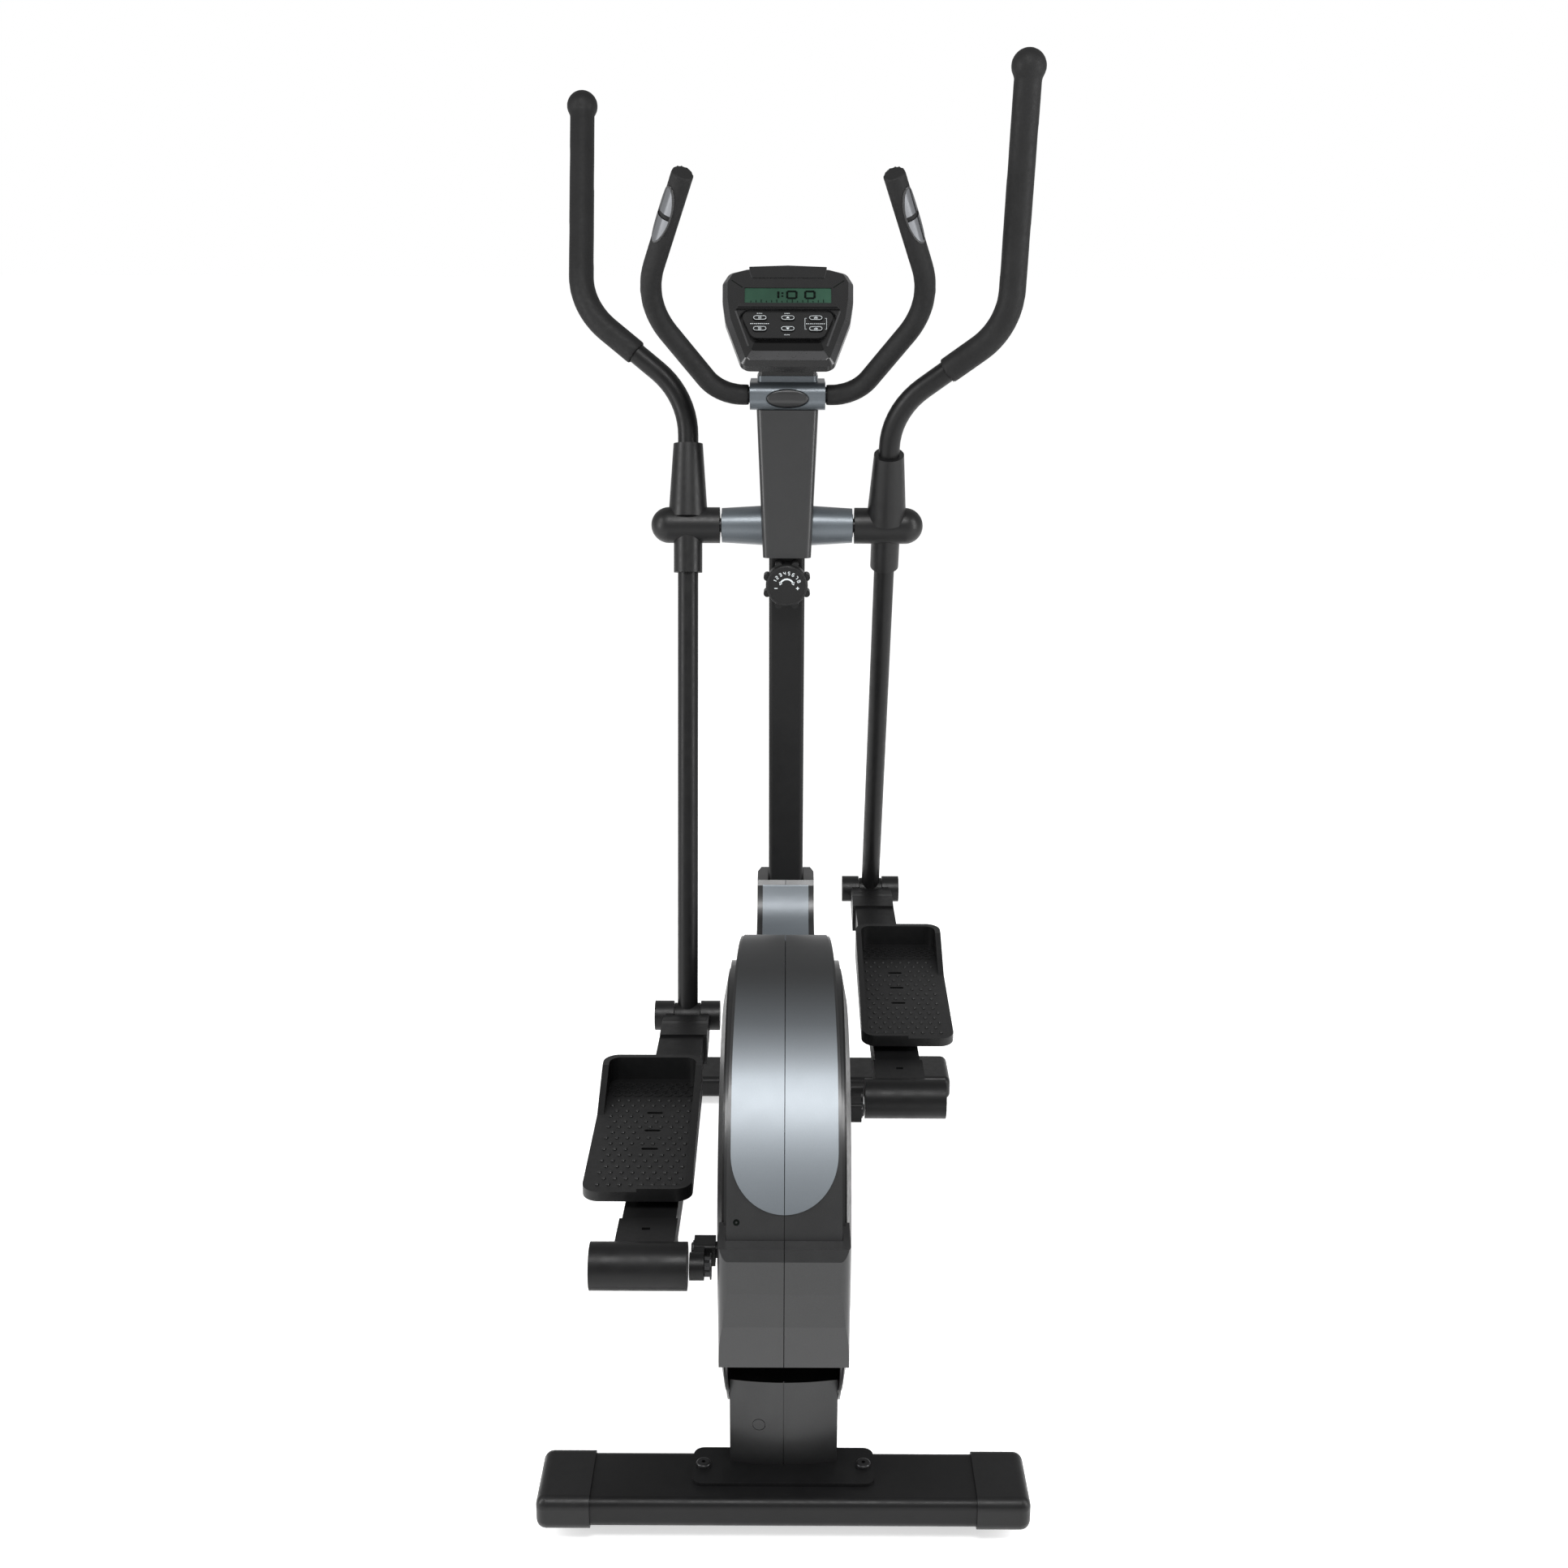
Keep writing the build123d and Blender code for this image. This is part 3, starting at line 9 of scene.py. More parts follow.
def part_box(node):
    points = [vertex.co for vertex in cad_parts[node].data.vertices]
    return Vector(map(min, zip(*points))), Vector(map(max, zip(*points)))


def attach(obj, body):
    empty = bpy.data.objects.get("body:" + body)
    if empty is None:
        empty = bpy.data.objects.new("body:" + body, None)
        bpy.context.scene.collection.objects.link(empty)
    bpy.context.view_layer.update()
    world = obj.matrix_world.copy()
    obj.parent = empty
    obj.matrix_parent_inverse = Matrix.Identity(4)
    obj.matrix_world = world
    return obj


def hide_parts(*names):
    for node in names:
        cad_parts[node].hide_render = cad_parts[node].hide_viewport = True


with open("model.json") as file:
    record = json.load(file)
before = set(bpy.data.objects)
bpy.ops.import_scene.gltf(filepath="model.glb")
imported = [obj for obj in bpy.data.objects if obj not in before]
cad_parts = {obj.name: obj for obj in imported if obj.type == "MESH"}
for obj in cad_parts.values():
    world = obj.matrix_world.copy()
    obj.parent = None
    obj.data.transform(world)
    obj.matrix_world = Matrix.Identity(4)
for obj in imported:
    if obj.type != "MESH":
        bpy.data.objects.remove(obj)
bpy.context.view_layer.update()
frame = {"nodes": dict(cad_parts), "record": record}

nodes = frame["nodes"]
joints = {joint["name"]: joint for joint in frame["record"]["behaviour"]["joints"]}
SIDES = ((-1, "left"), (1, "right"))

# ---- camera -----------------------------------------------------------------------------------
rear_low, rear_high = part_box("rear_stabilizer")
rear_y = (rear_low.y + rear_high.y) / 2
CAMERA_BEHIND = 1.755          # from the rear stabilizer's middle, metres
CAMERA_HEIGHT = 1.405
CAMERA_DOWN = 16.8             # degrees below the horizon
CAMERA_ROLL = 0.22
camera_data = bpy.data.cameras.new("camera")
camera_data.sensor_width = 36.0
camera_data.lens = 41.89
camera_data.shift_x = -0.0013
camera = bpy.data.objects.new("camera", camera_data)
camera.matrix_world = (
    Matrix.Translation((0.0, rear_y - CAMERA_BEHIND, CAMERA_HEIGHT))
    @ Matrix.Rotation(math.radians(90.0 - CAMERA_DOWN), 4, "X")
    @ Matrix.Rotation(math.radians(CAMERA_ROLL), 4, "Z")
)
bpy.context.scene.collection.objects.link(camera)
bpy.context.scene.camera = camera

# ---- light and floor --------------------------------------------------------------------------
bpy.context.scene.view_settings.view_transform = "Standard"
world = bpy.data.worlds.new("studio")
bpy.context.scene.world = world
world.use_nodes = True
# white backdrop, with a softer glow on the object itself
WHITE = (1.0, 1.0, 1.0, 1.0)
GLOW_STRENGTH, BACKDROP_STRENGTH = 0.5, 1.0
sky = world.node_tree
glow = sky.nodes["Background"]
backdrop = sky.nodes.new("ShaderNodeBackground")
for shade, strength in ((glow, GLOW_STRENGTH), (backdrop, BACKDROP_STRENGTH)):
    shade.inputs["Color"].default_value = WHITE
    shade.inputs["Strength"].default_value = strength
seen = sky.nodes.new("ShaderNodeLightPath")
choose = sky.nodes.new("ShaderNodeMixShader")
sky.links.new(seen.outputs["Is Camera Ray"], choose.inputs["Fac"])
sky.links.new(glow.outputs["Background"], choose.inputs[1])
sky.links.new(backdrop.outputs["Background"], choose.inputs[2])
sky.links.new(choose.outputs["Shader"], sky.nodes["World Output"].inputs["Surface"])


def area_light(name, place, target, size, power):
    """Soft rectangular white light aimed at a point."""
    data = bpy.data.lights.new(name, "AREA")
    data.shape = "RECTANGLE"
    data.size, data.size_y = size
    data.energy = power
    light = bpy.data.objects.new(name, data)
    light.location = place
    light.rotation_euler = (Vector(target) - Vector(place)).to_track_quat("-Z", "Y").to_euler()
    bpy.context.scene.collection.objects.link(light)


area_light("key_above", (0.0, -2.1, 3.4), (0.0, -0.1, 0.6), (1.4, 1.0), 85)
for side, name in SIDES:
    area_light(f"strip_{name}", (side * 2.4, -0.9, 1.6), (0.0, 0.0, 0.8), (0.6, 2.4), 55)


def new_mesh(name, build, body, material, smooth=True):
    """A mesh piece made by a bmesh function, riding on a CAD body."""
    mesh = bpy.data.meshes.new(name)
    bm = bmesh.new()
    build(bm)
    bmesh.ops.recalc_face_normals(bm, faces=bm.faces)
    bm.to_mesh(mesh)
    bm.free()
    piece = bpy.data.objects.new(name, mesh)
    bpy.context.scene.collection.objects.link(piece)
    mesh.materials.append(material)
    for polygon in mesh.polygons:
        polygon.use_smooth = smooth
    if body:
        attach(piece, body)
    return piece


# ---- materials --------------------------------------------------------------------------------
class Shader:
    """Small helper that builds a principled material from nodes."""

    def __init__(self, name, color, roughness, metallic=0.0, **sockets):
        self.material = bpy.data.materials.new(name)
        self.material.use_nodes = True
        self.tree = self.material.node_tree
        self.bsdf = self.tree.nodes["Principled BSDF"]
        self.color = color
        self.rough = roughness
        self.set("Base Color", (*color, 1.0))
        self.set("Roughness", roughness)
        self.set("Metallic", metallic)
        for socket, value in sockets.items():
            self.set(socket.replace("_", " "), value)
        self.coords = self.node("ShaderNodeTexCoord").outputs["Object"]
        self.normal = None

    def node(self, kind, **values):
        made = self.tree.nodes.new(kind)
        for key, value in values.items():
            setattr(made, key, value)
        return made

    def set(self, socket, value):
        self.bsdf.inputs[socket].default_value = value

    def link(self, out, into):
        self.tree.links.new(out, into)

    def noise(self, scale, detail=3.0, rough=0.55, stretch=None):
        """A noise value in object space, from 0 to 1."""
        texture = self.node("ShaderNodeTexNoise")
        texture.inputs["Scale"].default_value = scale
        texture.inputs["Detail"].default_value = detail
        texture.inputs["Roughness"].default_value = rough
        source = self.coords
        if stretch:
            mapping = self.node("ShaderNodeMapping")
            mapping.inputs["Scale"].default_value = stretch
            self.link(source, mapping.inputs["Vector"])
            source = mapping.outputs["Vector"]
        self.link(source, texture.inputs["Vector"])
        return texture.outputs["Fac"]

    def cells(self, scale):
        """Distance to the nearest point of a cell pattern."""
        texture = self.node("ShaderNodeTexVoronoi")
        texture.inputs["Scale"].default_value = scale
        self.link(self.coords, texture.inputs["Vector"])
        return texture.outputs["Distance"]

    def ramp(self, value, low, high, start=0.3, end=0.7):
        """A value remapped through two stops."""
        ramp = self.node("ShaderNodeValToRGB")
        first, last = ramp.color_ramp.elements
        first.position, last.position = start, end
        first.color = (*low, 1.0) if isinstance(low, tuple) else (low, low, low, 1.0)
        last.color = (*high, 1.0) if isinstance(high, tuple) else (high, high, high, 1.0)
        self.link(value, ramp.inputs["Fac"])
        return ramp.outputs["Color"]

    def vary_color(self, value, amount):
        """Base colour wanders a little either side of its own value."""
        low = tuple(channel * (1.0 - amount) for channel in self.color)
        high = tuple(min(1.0, channel * (1.0 + amount)) for channel in self.color)
        self.link(self.ramp(value, low, high), self.bsdf.inputs["Base Color"])

    def darken(self, color, shade):
        """Base colour from a colour node, multiplied in part by a shade."""
        mix = self.node("ShaderNodeMix", data_type="RGBA", blend_type="MULTIPLY")
        mix.inputs["Factor"].default_value = 0.3
        self.link(color, mix.inputs["A"])
        self.link(shade, mix.inputs["B"])
        self.link(mix.outputs["Result"], self.bsdf.inputs["Base Color"])

    def vary_rough(self, value, amount):
        self.link(
            self.ramp(value, max(0.02, self.rough - amount), min(1.0, self.rough + amount)),
            self.bsdf.inputs["Roughness"],
        )

    def bump(self, value, strength, distance):
        node = self.node("ShaderNodeBump")
        node.inputs["Strength"].default_value = strength
        node.inputs["Distance"].default_value = distance
        self.link(value, node.inputs["Height"])
        if self.normal:
            self.link(self.normal, node.inputs["Normal"])
        self.normal = node.outputs["Normal"]
        self.link(self.normal, self.bsdf.inputs["Normal"])


def powder_coat():
    shader = Shader("powder_coat_black", (0.0050, 0.0050, 0.0052), 0.40, Specular_IOR_Level=0.20)
    shader.vary_color(shader.noise(9.0), 0.18)
    shader.vary_rough(shader.noise(60.0, 4.0), 0.07)
    shader.bump(shader.noise(900.0, 2.0), 0.16, 0.0006)
    return shader.material


def moulded_black(name="moulded_black", rough=0.40, tone=0.0052, shine=0.26):
    shader = Shader(name, (tone, tone, tone * 1.04), rough, Specular_IOR_Level=shine)
    shader.vary_color(shader.noise(14.0), 0.15)
    shader.vary_rough(shader.noise(120.0, 4.0), 0.06)
    shader.bump(shader.noise(1500.0, 2.0), 0.06, 0.0003)
    return shader.material


def console_black():
    """Glossy moulded black of the console; its side bevels, which face sideways, are coloured a shade lighter:
    a painted highlight for the side light they catch.
    """
    # bevel: the lighter colour given to sideways-facing faces, a painted highlight
    face, bevel = (0.0056, 0.0056, 0.0059), (0.024, 0.024, 0.025)
    shader = Shader("console_black", face, 0.27, Specular_IOR_Level=0.5)
    split = shader.node("ShaderNodeSeparateXYZ")
    shader.link(shader.node("ShaderNodeNewGeometry").outputs["Normal"], split.inputs["Vector"])
    sideways = shader.node("ShaderNodeMath", operation="ABSOLUTE")
    shader.link(split.outputs["X"], sideways.inputs[0])
    shader.darken(
        shader.ramp(sideways.outputs["Value"], face, bevel, 0.30, 0.62),
        shader.ramp(shader.noise(40.0), 0.7, 1.0),
    )
    shader.vary_rough(shader.noise(90.0, 3.0), 0.03)
    shader.bump(shader.noise(1500.0, 2.0), 0.02, 0.0001)
    return shader.material


def metallic_paint(name, color, rough, metal):
    """Metallic paint: fine flakes under a soft clear coat."""
    shader = Shader(name, color, rough, metal, Coat_Weight=0.25, Coat_Roughness=0.22)
    flakes = shader.noise(2600.0, 1.0)
    shader.vary_color(flakes, 0.22)
    shader.vary_rough(shader.noise(35.0, 4.0), 0.05)
    shader.bump(flakes, 0.06, 0.0002)
    return shader.material


def foam_black():
    shader = Shader("foam_black", (0.0068, 0.0068, 0.0070), 0.58, Specular_IOR_Level=0.20)
    shader.vary_color(shader.noise(25.0), 0.22)
    shader.vary_rough(shader.noise(180.0, 3.0), 0.08)
    shader.bump(shader.cells(900.0), 0.22, 0.0006)
    return shader.material


def rubber_black():
    shader = Shader("rubber_black", (0.009, 0.009, 0.009), 0.68, Specular_IOR_Level=0.20)
    shader.vary_color(shader.noise(30.0), 0.2)
    shader.vary_rough(shader.noise(90.0), 0.08)
    shader.bump(shader.noise(700.0), 0.14, 0.0005)
    return shader.material


def plated_steel():
    shader = Shader("plated_steel", (0.55, 0.55, 0.56), 0.28, 1.0)
    shader.vary_color(shader.noise(40.0), 0.10)
    shader.vary_rough(shader.noise(220.0, 3.0, 0.6, (1.0, 0.15, 1.0)), 0.10)
    shader.bump(shader.noise(500.0, 2.0, 0.6, (1.0, 0.12, 1.0)), 0.06, 0.0003)
    return shader.material


def cast_gray():
    shader = Shader("cast_gray", (0.14, 0.14, 0.145), 0.5, 0.85)
    shader.vary_color(shader.noise(30.0), 0.25)
    shader.vary_rough(shader.noise(80.0), 0.1)
    shader.bump(shader.noise(420.0, 4.0), 0.2, 0.0008)
    return shader.material


def chrome_plate():
    shader = Shader("chrome_plate", (0.17, 0.175, 0.185), 0.16, 1.0)
    shader.vary_rough(shader.noise(200.0, 3.0), 0.05)
    shader.vary_color(shader.noise(18.0), 0.06)
    shader.bump(shader.noise(300.0), 0.03, 0.0003)
    return shader.material


def nylon_gray():
    shader = Shader("nylon_gray", (0.10, 0.10, 0.11), 0.5)
    shader.vary_color(shader.noise(50.0), 0.15)
    shader.vary_rough(shader.noise(100.0), 0.06)
    shader.bump(shader.noise(800.0), 0.1, 0.0004)
    return shader.material


def display_green():
    shader = Shader("display_green", (0.020, 0.052, 0.034), 0.34, Specular_IOR_Level=0.15)
    shader.vary_color(shader.noise(12.0), 0.25)
    shader.vary_rough(shader.noise(60.0), 0.04)
    shader.bump(shader.noise(300.0), 0.01, 0.0002)
    return shader.material


def print_light():
    shader = Shader("print_light", (0.46, 0.49, 0.50), 0.55)
    shader.vary_color(shader.noise(300.0), 0.08)
    shader.vary_rough(shader.noise(300.0), 0.05)
    shader.bump(shader.noise(1200.0), 0.04, 0.0001)
    return shader.material


def dark_print():
    shader = Shader("display_digits", (0.0015, 0.0030, 0.0022), 0.6, Specular_IOR_Level=0.05)
    shader.vary_color(shader.noise(200.0), 0.2)
    shader.vary_rough(shader.noise(200.0), 0.05)
    shader.bump(shader.noise(900.0), 0.03, 0.0001)
    return shader.material


def black_oxide():
    """Blackened steel of the bolts and nuts; the pivot shaft, seen only in the gap between boss and hub, is
    given it too, where its dark tone is painted shade in the gap.
    """
    shader = Shader("black_oxide_steel_and_shade", (0.030, 0.030, 0.031), 0.34, 0.8)
    shader.vary_color(shader.noise(60.0), 0.2)
    shader.vary_rough(shader.noise(150.0), 0.06)
    shader.bump(shader.noise(600.0), 0.06, 0.0003)
    return shader.material


def strip_paint_and_sheen():
    """Blue-gray metallic paint with a painted highlight: a height ramp brightens it round 0.545 m and darkens
    it to the casing's dark gray over the top of the strip as painted shade.
    """
    shader = Shader("strip_paint_and_sheen", (0.15, 0.17, 0.19), 0.46, 0.45, Coat_Weight=0.2, Coat_Roughness=0.35)
    split = shader.node("ShaderNodeSeparateXYZ")
    shader.link(shader.coords, split.inputs["Vector"])
    ramp = shader.node("ShaderNodeValToRGB")
    stops = ramp.color_ramp.elements          # placed by height above the ground, in metres: a painted highlight band and painted shade over the top
    stops[0].position, stops[0].color = 0.43, (0.125, 0.141, 0.156, 1.0)
    stops[1].position, stops[1].color = 0.545, (0.215, 0.240, 0.262, 1.0)
    for place, tone in ((0.582, (0.078, 0.086, 0.094, 1.0)), (0.608, (0.022, 0.023, 0.024, 1.0))):
        stop = stops.new(place)
        stop.color = tone
    shader.link(split.outputs["Z"], ramp.inputs["Fac"])
    flakes = shader.noise(2600.0, 1.0)
    shader.darken(ramp.outputs["Color"], shader.ramp(flakes, 0.55, 1.0))
    shader.vary_rough(shader.noise(35.0, 4.0), 0.012)
    shader.bump(flakes, 0.04, 0.0001)
    return shader.material


def floor_material():
    shader = Shader("studio_floor", (0.90, 0.90, 0.90), 0.8, Specular_IOR_Level=0.1, Emission_Strength=0.56)
    shader.set("Emission Color", WHITE)
    shader.vary_color(shader.noise(0.6), 0.012)
    shader.vary_rough(shader.noise(3.0), 0.04)
    shader.bump(shader.noise(60.0), 0.02, 0.0005)
    return shader.material


POWDER = powder_coat()
MOULDED = moulded_black()
DISC = moulded_black("disc_black", 0.38, 0.0065)
GLOSSY = console_black()
# the lip's lighter tone is a painted highlight for light caught by its upward slope
LIP_HIGHLIGHT = moulded_black("console_lip_highlight", 0.30, 0.030, 0.5)
# the pocket floor's near-black tone is painted shade
STEP_SHADE = moulded_black("console_step_shade", 0.18, 0.0016, 0.35)
CASING = metallic_paint("casing_gray", (0.021, 0.0212, 0.0218), 0.38, 0.5)
INSERT = metallic_paint("insert_silver", (0.088, 0.101, 0.113), 0.38, 0.6)
STRIP_SHEEN = strip_paint_and_sheen()
DARK_STEEL_AND_SHADE = black_oxide()
FOAM = foam_black()
RUBBER = rubber_black()
STEEL = plated_steel()
CAST = cast_gray()
CHROME = chrome_plate()
NYLON = nylon_gray()
DISPLAY = display_green()
PRINT = print_light()
# dark print of the digits, also used as painted shade in the screw recess and the corner gaps
DIGITS_AND_SHADE = dark_print()
FLOOR = floor_material()

BY_SLOT = {
    "frame_black": POWDER, "plastic_black": MOULDED, "rubber_black": RUBBER, "wheel_black": MOULDED,
    "steel": STEEL, "pulley_gray": NYLON, "belt_rubber": RUBBER, "cast_gray": CAST, "casing_gray": CASING,
    "insert_silver": INSERT, "foam_black": FOAM, "chrome": CHROME, "lens": DISPLAY, "cable_black": RUBBER,
    "key_dark": MOULDED,
}
slot_of = {entry["node"]: entry["material_slot"] for entry in frame["record"]["subparts"]}
for name, node in nodes.items():
    material = BY_SLOT[slot_of[name]]
    if "crank_disc" in name:
        material = DISC
    if name in ("console_body", "console_back", "console_neck"):
        material = GLOSSY
    # the pivot shaft shows only in the gap between boss and hub; its dark steel there is painted shade
    if name in ("fasteners", "pivot_shaft"):
        material = DARK_STEEL_AND_SHADE
    # the strip's material carries a painted highlight band and painted shade by height
    if name == "casing_inserts":
        material = STRIP_SHEEN
    if not node.material_slots:
        node.data.materials.append(material)
    for index in range(len(node.material_slots)):
        node.material_slots[index].material = material

# small moulded radii on the sharp edges of the CAD pieces
EDGE_RADIUS = {
    "casing_inserts": 0.0011, "rear_cover": 0.003, "leg_cover": 0.0025, "column_cover": 0.002,
    "pivot_bosses": 0.0012, "clamp_cover": 0.0015, "console_body": 0.0007, "console_neck": 0.002,
    "mount_plates": 0.0008, "tension_knob": 0.0008, "mast": 0.0008, "main_beam": 0.001,
}
PAIRED_RADIUS = {
    "casing": 0.0025, "pedal": 0.0018, "arm_covers": 0.002, "pedal_arm": 0.0022, "crank_arm": 0.0012,
    "lever_cover": 0.001,
}
for name, radius in PAIRED_RADIUS.items():
    for _, hand in SIDES:
        EDGE_RADIUS[f"{name}_{hand}"] = radius
for name, radius in EDGE_RADIUS.items():
    bevel = nodes[name].modifiers.new("moulded_edges", "BEVEL")
    bevel.width = radius
    bevel.segments = 3
    bevel.limit_method = "ANGLE"
    bevel.angle_limit = math.radians(38)
    bevel.use_clamp_overlap = True
    bevel.harden_normals = False

# ---- foam sleeves: the CAD sleeves remeshed and softened ---------------------------------------
def soft_copy(name, body, voxel):
    """A remeshed, smoothed copy of a CAD solid that stands for it."""
    source = nodes[name]
    mesh = source.data.copy()
    piece = bpy.data.objects.new(name + "_foam", mesh)
    bpy.context.scene.collection.objects.link(piece)
    remesh = piece.modifiers.new("remesh", "REMESH")
    remesh.mode = "VOXEL"
    remesh.voxel_size = voxel
    smooth = piece.modifiers.new("smooth", "SMOOTH")
    smooth.factor = 0.5
    smooth.iterations = 4
    bpy.context.view_layer.update()
    depsgraph = bpy.context.evaluated_depsgraph_get()
    solved = bpy.data.meshes.new_from_object(piece.evaluated_get(depsgraph))
    piece.modifiers.clear()
    piece.data = solved
    solved.name = name + "_foam"
    solved.materials.clear()
    solved.materials.append(FOAM)
    for polygon in solved.polygons:
        polygon.use_smooth = True
    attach(piece, body)
    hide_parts(name)


for side, name in SIDES:
    soft_copy(f"grip_{name}", f"{name}_lever", 0.0028)
soft_copy("handlebar_foam", "root", 0.0024)

# ---- helpers for small mesh details ------------------------------------------------------------


def join_rings(bm, rings):
    """Faces between each ring of vertices and the next."""
    for here, there in zip(rings, rings[1:]):
        count = len(here)
        for step in range(count):
            after = (step + 1) % count
            bm.faces.new((here[step], here[after], there[after], there[step]))


def lathe(bm, matrix, profile, segments=48):
    """Closed ring of revolution about the matrix's Z axis; profile is (radius, height) points."""
    rings = []
    for radius, height in profile:
        ring = []
        for step in range(segments):
            turn = 2 * math.pi * step / segments
            spot = Vector((radius * math.cos(turn), radius * math.sin(turn), height))
            ring.append(bm.verts.new(matrix @ spot))
        rings.append(ring)
    join_rings(bm, rings + rings[:1])


def prism(bm, matrix, outline, low, high, crown=0.0):
    """Closed prism over a flat outline, with an optional narrower, raised top edge."""
    count = len(outline)
    centre = Vector((sum(p[0] for p in outline) / count, sum(p[1] for p in outline) / count))
    levels = [(low, 0.0), (high - crown, 0.0), (high, crown)] if crown else [(low, 0.0), (high, 0.0)]
    rings = []
    for height, inset in levels:
        ring = []
        for x, y in outline:
            out = Vector((x, y)) - centre
            reach = out.length
            out = out * max(0.0, (reach - inset) / reach) if reach else out
            ring.append(bm.verts.new(matrix @ Vector((centre.x + out.x, centre.y + out.y, height))))
        rings.append(ring)
    join_rings(bm, rings)
    bm.faces.new(list(reversed(rings[0])))
    bm.faces.new(rings[-1])


def ribbon(bm, matrix, path, half, low, high, closed=False):
    """Flat strip of a constant width that follows a path in the matrix's XY plane."""
    points = [Vector((x, y)) for x, y in path]
    count = len(points)
    left, right = [], []
    for index, point in enumerate(points):
        before = points[index - 1] if index or closed else point
        after = points[(index + 1) % count] if index < count - 1 or closed else point
        run = (after - before).normalized()
        out = Vector((-run.y, run.x)) * half
        left.append(point + out)
        right.append(point - out)
    spans = count if closed else count - 1
    grid = []
    for row, height in ((left, low), (left, high), (right, high), (right, low)):
        grid.append([bm.verts.new(matrix @ Vector((p.x, p.y, height))) for p in row])
    for index in range(spans):
        after = (index + 1) % count
        for here, there in zip(grid, grid[1:] + grid[:1]):
            bm.faces.new((here[index], here[after], there[after], there[index]))
    if not closed:
        for index in (0, count - 1):
            bm.faces.new([row[index] for row in grid])


def arc_points(radius, start, end, steps, centre=(0.0, 0.0), stretch=1.0):
    """Points along a circular arc, angles in degrees."""
    points = []
    for step in range(steps + 1):
        turn = math.radians(start + (end - start) * step / steps)
        points.append((centre[0] + radius * stretch * math.cos(turn), centre[1] + radius * math.sin(turn)))
    return points


def axes(along, up, origin):
    """Matrix whose X is the frame's own, with the given Y, Z and origin."""
    matrix = Matrix.Identity(4)
    for row in range(3):
        matrix[row][0] = (1.0, 0.0, 0.0)[row]
        matrix[row][1] = along[row]
        matrix[row][2] = up[row]
        matrix[row][3] = origin[row]
    return matrix


# ---- foot trays ---------------------------------------------------------------------------------
HUB = 0.026                    # hub barrel radius: the hub is a pedal arm's lowest and rearmost part
TRAY_TOP = 0.042               # tray floor above the pin
HEEL, TOE = 0.084, 0.374       # tray ends ahead of the pin
TRAY_IN, TRAY_OUT = 0.1035, 0.228


def arm_matrix(name):
    """A pedal arm's own axes at its crank pin: X across, Y along to the fork, Z up."""
    low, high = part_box(f"pedal_arm_{name}")
    pin = Vector((0.0, low.y + HUB, low.z + HUB))
    fork = Vector(joints[f"{name}_arm_swing"]["pos_m"])
    run = Vector((0.0, fork.y - pin.y, fork.z - pin.z)).normalized()
    up = Vector((0.0, -run.z, run.y))
    return axes(run, up, pin)


def tread(side, matrix):
    """Raised grip pattern: rings near the toe and small drops over the rest of the tray."""

    def build(bm):
        across = TRAY_OUT - TRAY_IN
        for row in range(3):
            for column in range(8):
                x = TRAY_IN + 0.017 + column * 0.0125 + (row % 2) * 0.00625
                y = TOE - 0.026 - row * 0.0125
                if x > TRAY_OUT - 0.012:
                    continue
                ring = [(side * x + px, y + py) for px, py in arc_points(0.0052, 0, 330, 11)]
                ribbon(bm, matrix, ring, 0.0008, TRAY_TOP - 0.001, TRAY_TOP + 0.0008, closed=True)
        for row in range(17):
            for column in range(9):
                x = TRAY_IN + 0.014 + column * 0.0125 + (row % 2) * 0.00625
                y = TOE - 0.068 - row * 0.0137
                slot_near = any(abs(y - (HEEL + TOE) / 2 - step) < 0.008 for step in (-0.045, 0.0, 0.045))
                middle = (TRAY_IN + TRAY_OUT) / 2 - 0.008
                over_slot = slot_near and abs(x - middle) < 0.016
                if x > TRAY_OUT - 0.012 or y < HEEL + 0.016 or over_slot:
                    continue
                outline = []
                for px, py in arc_points(1.0, 0, 330, 11):
                    tail = 1.0 + (0.9 if py > 0.9 else 0.0)
                    outline.append((side * x + px * 0.0026, y + py * 0.0026 * tail))
                prism(bm, matrix, outline, TRAY_TOP - 0.001, TRAY_TOP + 0.0013, 0.0009)

    return build


TREAD = moulded_black("tray_tread", 0.34, 0.0090)
for side, name in SIDES:
    new_mesh(f"tray_tread_{name}", tread(side, arm_matrix(name)), f"{name}_arm", TREAD, False)

# ---- console ------------------------------------------------------------------------------------
lens_low, lens_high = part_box("console_lens")
press = Vector(joints["key_1_press"]["axis"]).normalized()
face_up = -press
lens_centre = (lens_low + lens_high) / 2


def face_matrix(lift):
    """Console face axes about the lens centre: X across, Y up the face, Z out of it."""
    along = Vector((0.0, face_up.z, -face_up.y))
    return axes(along, face_up, lens_centre + face_up * lift)


LENS_V = 0.0355                # the lens centre's height up the console face
FACE = face_matrix(0.0012)     # the lens is 1.6 mm thick and its middle lies 1.2 mm under the face
SEGMENTS = {
    "0": "abcdef", "1": "bc", "2": "abged", "3": "abgcd", "4": "fgbc", "5": "afgcd", "6": "afgedc",
    "7": "abc", "8": "abcdefg",
}


def digit(bm, matrix, text, x, y, width, height, stroke, low, high):
    """Seven-segment digit with its lower left corner at x, y."""
    bars = {
        "a": ((0, height), (width, height)),
        "g": ((0, height / 2), (width, height / 2)),
        "d": ((0, 0), (width, 0)),
        "f": ((0, height / 2), (0, height)),
        "b": ((width, height / 2), (width, height)),
        "e": ((0, 0), (0, height / 2)),
        "c": ((width, 0), (width, height / 2)),
    }
    for name in SEGMENTS[text]:
        (x0, y0), (x1, y1) = bars[name]
        slack = stroke * 0.12
        if y0 == y1:
            x0, x1 = x0 + slack, x1 - slack
        else:
            y0, y1 = y0 + slack, y1 - slack
        ribbon(bm, matrix, [(x + x0, y + y0), (x + x1, y + y1)], stroke / 2, low, high)


